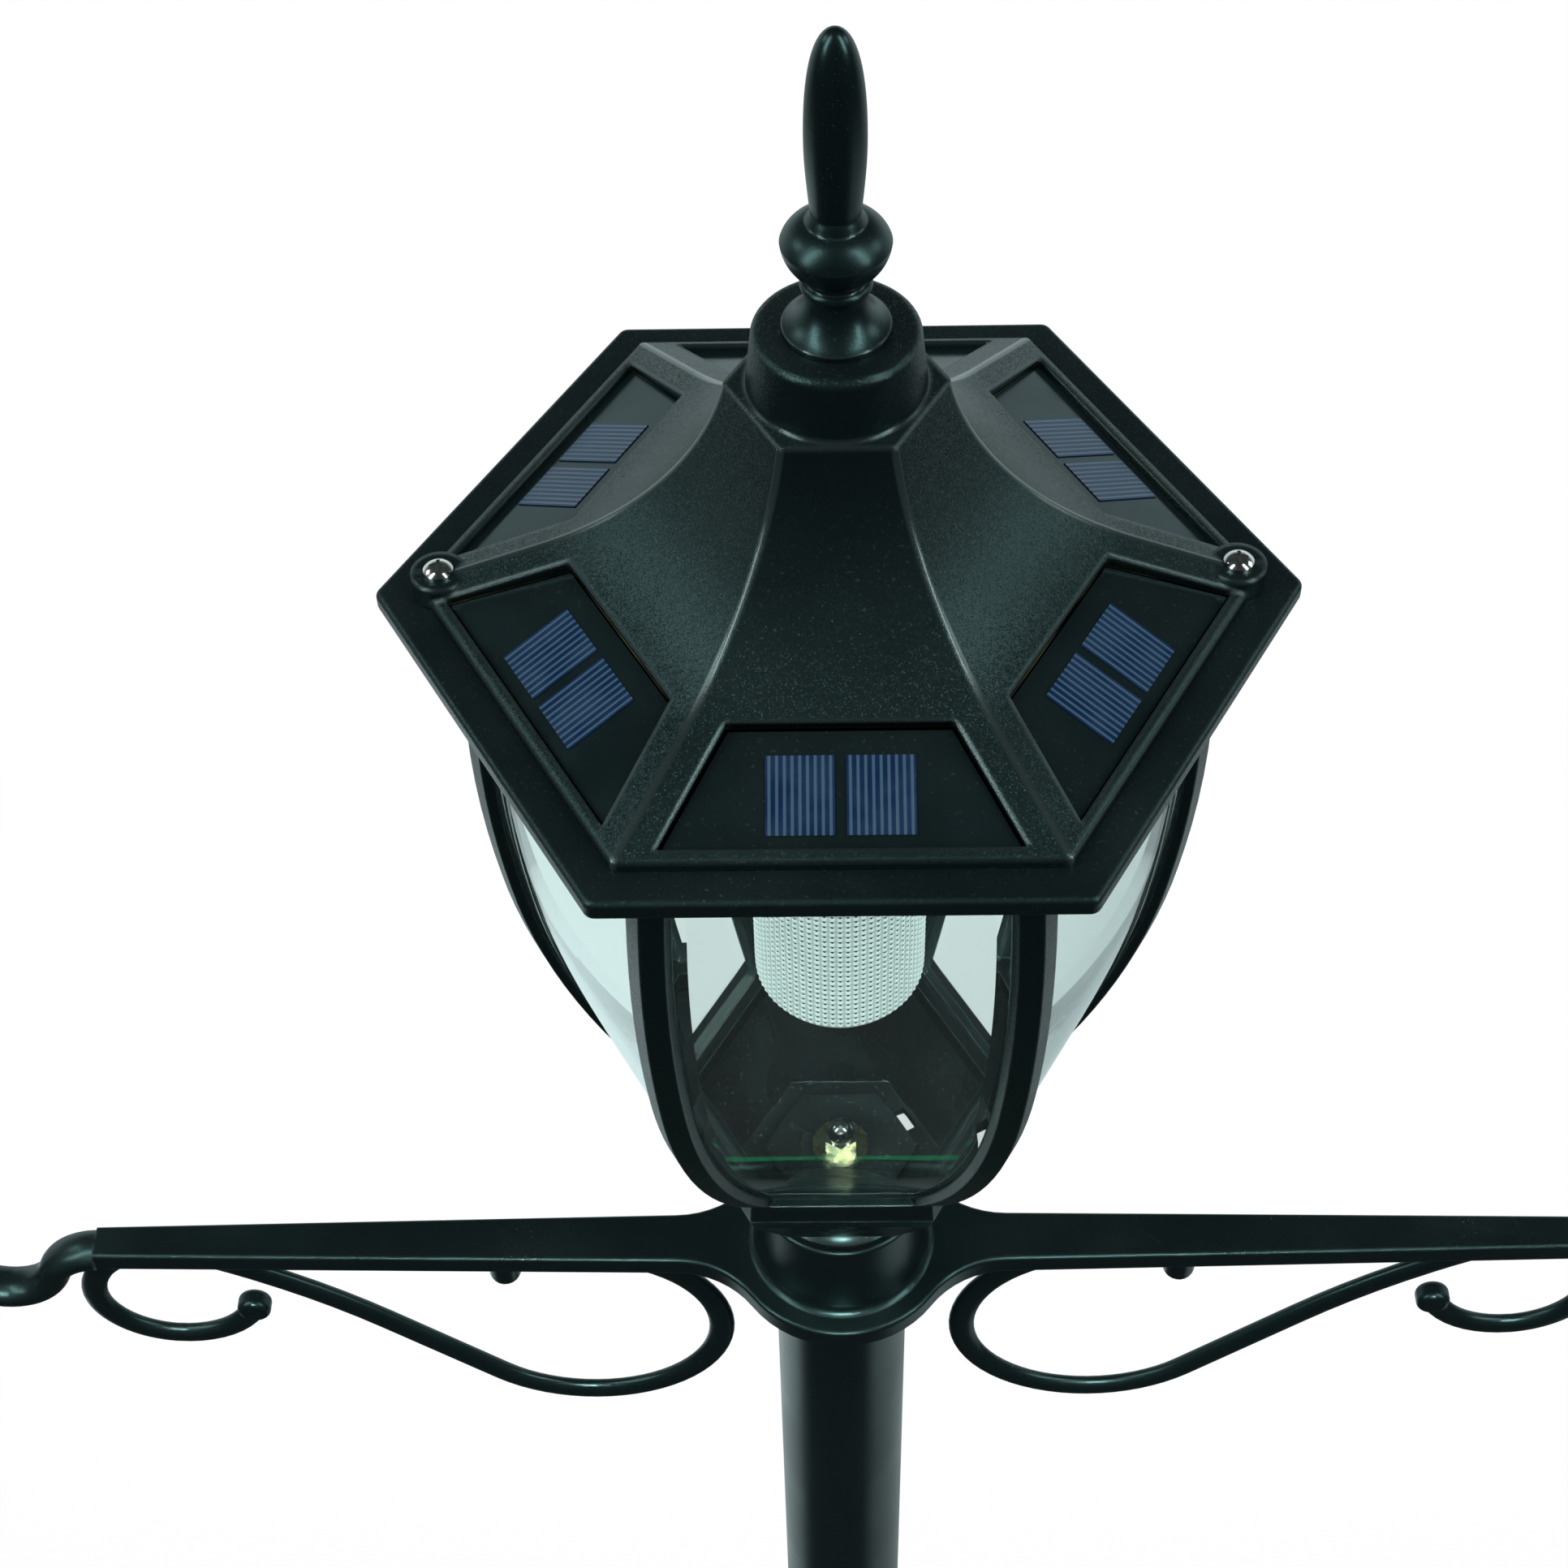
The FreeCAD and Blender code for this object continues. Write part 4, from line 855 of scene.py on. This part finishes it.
def lathe(profile: np.ndarray, columns: int, relief: np.ndarray | None = None) -> Shape:
    """A closed body turned about the upright axis, its profile running from pole to pole.

    Args:
        profile: radius and height of each ring; the first and last lie on the axis.
        columns: points round each ring.
        relief: how far each point of the inner rings is pushed out of the profile, rings x columns.

    Returns:
        The closed shape. Each square between rings is cut along the diagonal that meets its relief.
    """
    rings = profile[1:-1]
    step = np.gradient(profile, axis=0)[1:-1]
    normal = np.column_stack([step[:, 1], -step[:, 0]]) / np.hypot(*step.T)[:, None]
    lift = np.zeros((len(rings), columns)) if relief is None else relief
    angle = np.arange(columns) * 2 * math.pi / columns
    radius = rings[:, :1] + normal[:, :1] * lift
    level = rings[:, 1:] + normal[:, 1:] * lift
    points = np.stack([radius * np.cos(angle), radius * np.sin(angle), level], -1).reshape(-1, 3)
    index = np.arange(len(points)).reshape(len(rings), columns)
    right = np.roll(index, -1, 1)
    a, b, c, d = (grid.ravel() for grid in (index[:-1], right[:-1], right[1:], index[1:]))
    height = np.abs(lift).ravel()
    along = (height[a] + height[c] >= height[b] + height[d])[:, None]
    first = np.where(along, np.column_stack([a, b, c]), np.column_stack([a, b, d]))
    second = np.where(along, np.column_stack([a, c, d]), np.column_stack([b, c, d]))
    low, high = len(points), len(points) + 1
    poles = np.array([[0, 0, profile[0, 1]], [0, 0, profile[-1, 1]]])
    bottom = np.column_stack([right[0], index[0], np.full(columns, low)])
    top = np.column_stack([index[-1], right[-1], np.full(columns, high)])
    return Shape(np.vstack([points, poles]), np.vstack([first, second, bottom, top]))


class Frame:
    """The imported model, and the finishes that dress it."""

    def __init__(self) -> None:
        """Loads the model and keeps its box."""
        self.nodes: dict[str, bpy.types.Object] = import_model()["nodes"]
        self.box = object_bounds()
        effects = Effects()
        self.materials = {finish.slot: finish.material(effects) for finish in FINISHES}

    def dress(self, slot: Slot, *names: str) -> None:
        """Gives nodes the finish of a slot.

        Args:
            slot: the finish.
            names: the nodes.
        """
        for name in names:
            slots = self.nodes[name].data.materials
            slots.clear()
            slots.append(self.materials[slot])
            LOG.info("%s: %s", name, slot.value)

    def stand_in(self, piece: bpy.types.Object, slot: Slot, *names: str) -> None:
        """Lets a new piece of the lamp's body stand for nodes.

        Args:
            piece: the new piece.
            slot: its finish.
            names: the nodes that it stands for.
        """
        piece.data.materials.append(self.materials[slot])
        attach(piece, LAMP_BODY)
        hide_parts(*names)
        LOG.info("%s: %s, stands for %s", piece.name, slot.value, ", ".join(names))


@dataclass
class PostAndArms:
    """Post, base, hanger arm and finial in satin black, with plain steel inside."""

    pieces: tuple[str, ...] = ("post", "base_flange", "hanger_arm", "finial")
    hidden: tuple[str, ...] = ("tie_stud", "post_plug")

    def build(self, frame: Frame) -> None:
        """Dresses the nodes."""
        frame.dress(Slot.SATIN_BLACK, *self.pieces)
        frame.dress(Slot.PLAIN_STEEL, *self.hidden)


@dataclass
class Lantern:
    """Cage, cup and roof with its panels and cells, and the fasteners that show."""

    panels: tuple[str, ...] = tuple(f"solar_panel_{index}" for index in range(1, FACETS + 1))
    cells: tuple[str, ...] = tuple(f"solar_cells_{index}" for index in range(1, FACETS + 1))

    def build(self, frame: Frame) -> None:
        """Dresses the nodes.

        Args:
            frame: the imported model.
        """
        frame.dress(Slot.SAND_BLACK, "roof_cap")
        frame.dress(Slot.SAND_BLACK_METAL, "lantern_cage")
        frame.dress(Slot.GLOSS_BLACK, "base_cup")
        frame.dress(Slot.PANEL_LAMINATE, *self.panels)
        frame.dress(Slot.CELL_SILICON, *self.cells)
        frame.dress(Slot.NICKEL, "roof_screw_left", "roof_screw_right", "acorn_nut")
        frame.dress(Slot.YELLOW_ZINC, "washer")


@dataclass
class Glazing:
    """Six bent panes with a ground bevel along their sides and foot."""

    foot: Span = (45.1 * MM, 1359.0 * MM)
    knee: Span = (81.8 * MM, 1465.0 * MM)
    shoulder: Span = (81.0 * MM, 1575.0 * MM)
    top: float = 1580.5 * MM
    bend: float = 250.0 * MM
    flank: float = 440.0 * MM
    thickness: float = 3.4 * MM
    side: float = 3.0 * MM
    bevel: float = 7.0 * MM
    ground: float = 1.5 * MM
    lift: float = 0.35 * MM
    crease: float = 8.0
    arc_steps: int = 200
    bevel_steps: int = 4
    steps: int = 12
    rise_steps: int = 43

    def profile(self) -> np.ndarray:
        """Way from the foot, distance from the axis and height of the outer face, from the foot up.

        Returns:
            The points, closer together within the width of the bevel.
        """
        lower = arc(self.foot, self.knee, self.bend, self.arc_steps)
        upper = arc(self.knee, self.shoulder, self.flank, self.arc_steps)
        fine = np.vstack([lower, upper[1:], [[self.shoulder[0], self.top]]])
        walked = np.concatenate([[0], np.cumsum(np.hypot(*np.diff(fine, axis=0).T))])
        start = np.interp(self.foot[1] + self.lift, fine[:, 1], walked)
        turn = start + self.bevel
        bevelled = np.linspace(start, turn, self.bevel_steps + 1)
        rows = np.concatenate([bevelled, np.linspace(turn, walked[-1], self.rise_steps + 1)[1:]])
        return np.column_stack([rows, *(np.interp(rows, walked, fine[:, i]) for i in (0, 1))])

    def pane(self) -> Shape:
        """The pane on the side that faces +Y: the bevel sinks the outer face towards the nearest ground edge.

        Returns:
            The closed shape.
        """
        walked, out, level = (column[:, None] for column in self.profile().T)
        border = np.linspace(0, 1, self.bevel_steps + 1)
        middle = np.linspace(-1, 1, self.steps + 1)[1:-1]
        half = out * FACET_SLOPE - self.side
        inset = half - self.bevel
        across = np.hstack([-half + border * self.bevel, inset * middle, half - border[::-1] * self.bevel])
        edge = np.minimum(half - np.abs(across), walked)
        sunk = self.ground * np.clip(1 - edge / self.bevel, 0, 1)
        inner_half = (out - self.thickness) * FACET_SLOPE - self.side
        front = np.stack([-across, out - sunk, level + 0 * across], -1)
        back = np.stack([-across * inner_half / half, out - self.thickness + 0 * across, level + 0 * across], -1)
        return slab(front, back)

    def build(self, frame: Frame) -> None:
        """Makes the panes and lets them stand for the plain ones.

        Args:
            frame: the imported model.
        """
        shape = self.pane()
        for index in range(1, FACETS + 1):
            piece = shape.turned(2 * HALF_FACET * index).piece(f"bevelled_pane_{index}", self.crease)
            frame.stand_in(piece, Slot.PANE_GLASS, f"glass_pane_{index}")


@dataclass
class Light:
    """Clear lens with rows of small pyramids, the lamp board and its light-emitting beads."""

    rim: float = 1581.0 * MM
    radius: float = 25.6 * MM
    wall: float = 2.0 * MM
    drop: float = 164.0 * MM
    corner: float = 7.0 * MM
    corner_steps: int = 10
    inner_corner: float = 5.0 * MM
    inner_steps: int = 6
    flange: float = 2.5 * MM
    flange_radius: float = 32.0 * MM
    prisms: int = LENS_PRISMS
    relief: float = 0.55 * MM
    smooth_rings: int = 8
    lens_crease: float = 20.0
    bead_radius: float = 2.5 * MM
    bead_circle: float = 12.0 * MM
    bead_steps: int = 8
    bead_columns: int = 20
    bead_crease: float = 40.0
    board: float = 1.6 * MM

    def lens(self) -> Shape:
        """Outer wall from the closed end up, over the flange and down the inner wall to its end.

        Returns:
            The closed shape; on the wall, above the smooth end, every second ring has a peak at every second point.
        """
        end, tube = self.rim - self.drop + self.relief, self.radius - self.relief
        flat, shoulder = tube - self.corner, self.rim - self.flange
        pitch = math.pi * self.radius / self.prisms
        lower = arc((flat, end), (tube, end + self.corner), self.corner, self.corner_steps)
        rows = 2 * round((self.drop - self.relief - self.corner - self.flange) / pitch / 2)
        heights = np.linspace(lower[-1, 1], shoulder, rows + 1)[1:]
        outer = np.vstack([lower, np.column_stack([np.full(rows, tube), heights])])
        bore, floor, turn = self.radius - self.wall, self.rim - self.drop + self.wall, self.inner_corner
        inner = arc((bore - turn, floor), (bore, floor + turn), turn, self.inner_steps)[::-1]
        top = [[self.flange_radius, shoulder], [self.flange_radius, self.rim], [bore, self.rim]]
        rings = np.vstack([[[flat / 2, end]], outer, top, inner])
        profile = np.vstack([[[0, end]], rings, [[0, floor]]])
        columns = 2 * self.prisms
        raised = np.zeros((len(rings), columns))
        ring = np.arange(len(outer))
        peaks = ((ring % 2 == 1) & (ring > self.smooth_rings))[:, None] & (np.arange(columns) % 2 == 1)[None, :]
        raised[1 : 1 + len(outer)] = np.where(peaks, self.relief, 0)
        return lathe(profile, columns, raised)

    def beads(self) -> Shape:
        """Six domed beads on the underside of the board.

        Returns:
            The closed shapes together.
        """
        level = self.rim - self.board
        dome = arc((0.0, level - self.bead_radius), (self.bead_radius, level), self.bead_radius, self.bead_steps)
        one = lathe(np.vstack([dome, [[0.0, level]]]), self.bead_columns)
        one.points[:, 0] += self.bead_circle
        made = one
        for turn in range(1, FACETS):
            made = made.joined(one.turned(2 * HALF_FACET * turn))
        return made

    def build(self, frame: Frame) -> None:
        """Makes lens and beads, and dresses the boards and the inner pieces.

        Args:
            frame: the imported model.
        """
        frame.stand_in(self.lens().piece("prism_lens", self.lens_crease), Slot.LENS_CLEAR, "lens")
        frame.stand_in(self.beads().piece("light_beads", self.bead_crease), Slot.LED_RESIN, "leds")
        frame.dress(Slot.BOARD_WHITE, "led_board")
        frame.dress(Slot.BOARD_GREEN, "control_board")
        frame.dress(Slot.BATTERY_SLEEVE, "battery")
        frame.dress(Slot.INNER_BLACK, "cover_plate", "battery_holder", "switch_body")
        frame.dress(Slot.SLIDER_WHITE, "switch_slider")
        frame.dress(Slot.PLAIN_STEEL, "plate_screws")


@dataclass(frozen=True)
class Softbox:
    """A lamp of a width and a height that looks at the lantern."""

    name: str
    place: Place
    size: Span
    power: float
    aim: Place = (0.0, 0.0, 1.5)
    spread: float = 180.0
    tone: Tone = (0.92, 1.0, 0.97)

    def build(self) -> None:
        """Makes the lamp, unseen by the camera itself."""
        data = bpy.data.lights.new(self.name, "AREA")
        data.shape, data.energy = "RECTANGLE", self.power
        data.size, data.size_y = self.size
        data.spread, data.color = math.radians(self.spread), self.tone
        lamp = bpy.data.objects.new(self.name, data)
        lamp.location = self.place
        lamp.rotation_euler = (Vector(self.aim) - Vector(self.place)).to_track_quat("-Z", "Y").to_euler()
        lamp.visible_camera = False
        bpy.context.scene.collection.objects.link(lamp)


@dataclass(frozen=True)
class Room:
    """What glossy faces see of the room; a span is a range of the X, Y or Z part of the way that they look."""

    tone: Tone = (0.82, 0.985, 1.0)
    dim: float = 0.03
    wall_away: Span = (-0.1, 0.75)
    wall_most: float = 0.8
    wall_top: Span = (0.05, 0.45)
    wall_above: float = 0.06
    wall_foot: Span = (-0.8, -0.1)
    wall_below: float = 0.25
    ground_near: Span = (-0.95, -0.88)
    ground_far: Span = (-0.7, -0.5)
    ground_front: Span = (-0.24, -0.16)
    ground_slant: float = 0.25
    ground_sides: Span = (-0.3, 0.3)
    ground_level: Span = (0.95, 0.55)
    streak: float = 0.25
    streak_tone: Tone = (0.02, 1.0, 0.36)
    streak_place: float = -0.05
    streak_width: Span = (0.010, 0.022)
    streak_depth: Span = (-0.98, -0.96)

    def mirrored(self, graph: Graph) -> tuple[Socket, Socket]:
        """Pale walls behind the lamp post, a white floor beside it, a thin green streak below, and the rest dim.

        Args:
            graph: the world's tree.

        Returns:
            The colour and the strength in the direction that a ray takes.
        """
        toward = graph.node("SeparateXYZ", {0: graph.node("TexCoord").outputs["Generated"]}).outputs
        upper = graph.ramp(toward["Z"], *self.wall_top, 1.0, self.wall_above)
        level = graph.math("MULTIPLY", upper, graph.ramp(toward["Z"], *self.wall_foot, self.wall_below, 1.0))
        wall = graph.math("MULTIPLY", graph.ramp(toward["Y"], *self.wall_away, 0.0, self.wall_most), level)
        slant = graph.math("ADD", toward["Y"], graph.math("MULTIPLY", toward["X"], self.ground_slant))
        sides = graph.ramp(toward["X"], *self.ground_sides, *self.ground_level)
        beside = graph.math("MULTIPLY", graph.ramp(slant, *self.ground_front), sides)
        near = graph.ramp(toward["Z"], *self.ground_near)
        ground = graph.math("MULTIPLY", near, graph.ramp(toward["Z"], *self.ground_far, 1.0, 0.0))
        pale = graph.math("MAXIMUM", wall, graph.math("MULTIPLY", beside, ground))
        ahead = graph.math("ABSOLUTE", graph.math("SUBTRACT", toward["Y"], self.streak_place))
        under = graph.ramp(toward["Z"], *self.streak_depth, 1.0, 0.0)
        streak = graph.math("MULTIPLY", graph.ramp(ahead, *self.streak_width, 1.0, 0.0), under)
        lit = graph.math("MAXIMUM", pale, self.dim)
        strength = graph.math("MAXIMUM", lit, graph.math("MULTIPLY", streak, self.streak))
        return graph.blend(streak, self.tone, self.streak_tone), strength


@dataclass
class Studio:
    """White floor and world, soft lamps, and the camera of the photograph."""

    eye: Place = (-0.0030, -0.4985, 2.0837)
    yaw: float = math.radians(-1.4162)
    pitch: float = math.radians(49.354)
    roll: float = math.radians(-1.639)
    focal: float = 62.798
    sensor: float = 36.0
    clip: Span = (0.01, 60.0)
    floor_radius: float = 3.0
    floor_corners: int = 96
    floor_drop: float = 0.2 * MM
    floor_tone: Tone = (0.82, 0.82, 0.82)
    floor_glow: float = 0.94
    floor_crease: float = 30.0
    fade: Span = (0.5, 1.6)
    white: Tone = (1.0, 1.0, 1.0)
    world_fill: float = 0.75
    room: Room = Room()
    lamps: tuple[Softbox, ...] = (
        Softbox("left_box", (-1.55, 0.28, 2.55), (0.5, 0.5), 3.2),
        Softbox("right_box", (1.65, 0.26, 2.4), (0.6, 0.6), 3.2),
        Softbox("left_strip", (-1.3, -0.70, 2.72), (0.2, 1.7), 19.0),
        Softbox("right_strip", (1.3, -0.70, 2.72), (0.2, 1.7), 18.0),
        Softbox("front_strip", (0.0, -1.6, 2.65), (2.4, 0.2), 3.2, aim=(0.0, 0.0, 1.05), spread=16.0),
    )

    def camera(self) -> None:
        """Sets the camera from its place, heading, dip and tilt."""
        level = math.cos(self.pitch)
        ahead = Vector((math.sin(self.yaw) * level, math.cos(self.yaw) * level, -math.sin(self.pitch)))
        right = Vector((math.cos(self.yaw), -math.sin(self.yaw), 0.0))
        above = right.cross(ahead)
        c, s = math.cos(self.roll), math.sin(self.roll)
        axes = Matrix((right * c + above * s, above * c - right * s, -ahead)).transposed().to_4x4()
        data = bpy.data.cameras.new("photo_camera")
        data.lens, data.sensor_width = self.focal, self.sensor
        data.clip_start, data.clip_end = self.clip
        made = bpy.data.objects.new("photo_camera", data)
        made.matrix_world = Matrix.Translation(self.eye) @ axes
        bpy.context.scene.collection.objects.link(made)
        bpy.context.scene.camera = made

    @staticmethod
    def seen(graph: Graph) -> tuple[Socket, Socket]:
        """Whether a ray comes from the camera, straight or through glass, or off a glossy face.

        Args:
            graph: the tree that gets the nodes.

        Returns:
            The mask of rays without any bounce, and the mask of those with a glossy one.
        """
        path = graph.node("LightPath").outputs
        straight = graph.math("MAXIMUM", path["Is Camera Ray"], path["Is Transmission Ray"])
        bounced = graph.math("ADD", path["Glossy Depth"], path["Diffuse Depth"])
        direct = graph.math("MULTIPLY", straight, graph.math("LESS_THAN", bounced, 0.5))
        return direct, graph.math("GREATER_THAN", path["Glossy Depth"], 0.5)

    def world(self) -> None:
        """A world that is white where it is seen, the room in glossy faces, and a plain fill elsewhere."""
        made = bpy.data.worlds.new("studio")
        made.use_nodes = True
        made.cycles.sampling_method = "NONE"
        bpy.context.scene.world = made
        graph = Graph(made.node_tree)
        direct, glossy = self.seen(graph)
        tone, mirrored = self.room.mirrored(graph)
        other = graph.node("Mix", {"Factor": glossy, 2: self.world_fill, 3: mirrored}).outputs[0]
        strength = graph.node("Mix", {"Factor": direct, 2: other, 3: 1.0}).outputs[0]
        shown = graph.blend(glossy, self.white, tone)
        background = graph.node("Background", {"Color": shown, "Strength": strength})
        graph.node("OutputWorld", {"Surface": background.outputs["Background"]})

    def floor(self) -> None:
        """A pale round floor that fades to white at its edge and keeps the lamp post's shadow."""
        angle = np.linspace(0, 2 * math.pi, self.floor_corners, endpoint=False)
        ring = np.column_stack([np.cos(angle), np.sin(angle), 0 * angle]) * self.floor_radius
        index = np.arange(len(ring))
        fan = np.column_stack([index, np.roll(index, -1), np.full(len(ring), len(ring))])
        points = np.vstack([ring, np.zeros(3)]) - np.array([0, 0, self.floor_drop])
        piece = Shape(points, fan).piece("floor", self.floor_crease)
        made = bpy.data.materials.new("pale_floor")
        made.use_nodes = True
        graph = Graph(made.node_tree)
        direct, glossy = self.seen(graph)
        place = graph.place()
        edge = graph.ramp(graph.hypot(place["X"], place["Y"]), *self.fade)
        glow = graph.node("Emission", {"Color": self.white, "Strength": 1.0})
        paint = graph.node("BsdfDiffuse", {"Color": self.floor_tone})
        lit = graph.math("MAXIMUM", edge, self.floor_glow)
        share = graph.math("MULTIPLY", graph.math("MAXIMUM", direct, glossy), lit)
        mixed = graph.node("MixShader", {0: share, 1: paint.outputs[0], 2: glow.outputs[0]})
        graph.node("OutputMaterial", {"Surface": mixed.outputs[0]})
        piece.data.materials.append(made)
        piece.visible_glossy = piece.visible_transmission = False
        piece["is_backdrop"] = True

    def build(self) -> None:
        """Sets view transform, camera, world, floor and lamps."""
        bpy.context.scene.view_settings.view_transform = "Standard"
        self.camera()
        self.world()
        self.floor()
        for lamp in self.lamps:
            lamp.build()


def main() -> None:
    """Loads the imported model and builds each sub-assembly."""
    logging.basicConfig(level=logging.INFO, format="%(name)s %(message)s")
    frame = Frame()
    Studio().build()
    for assembly in (PostAndArms(), Lantern(), Glazing(), Light()):
        assembly.build(frame)


if __name__ == "__main__":
    main()
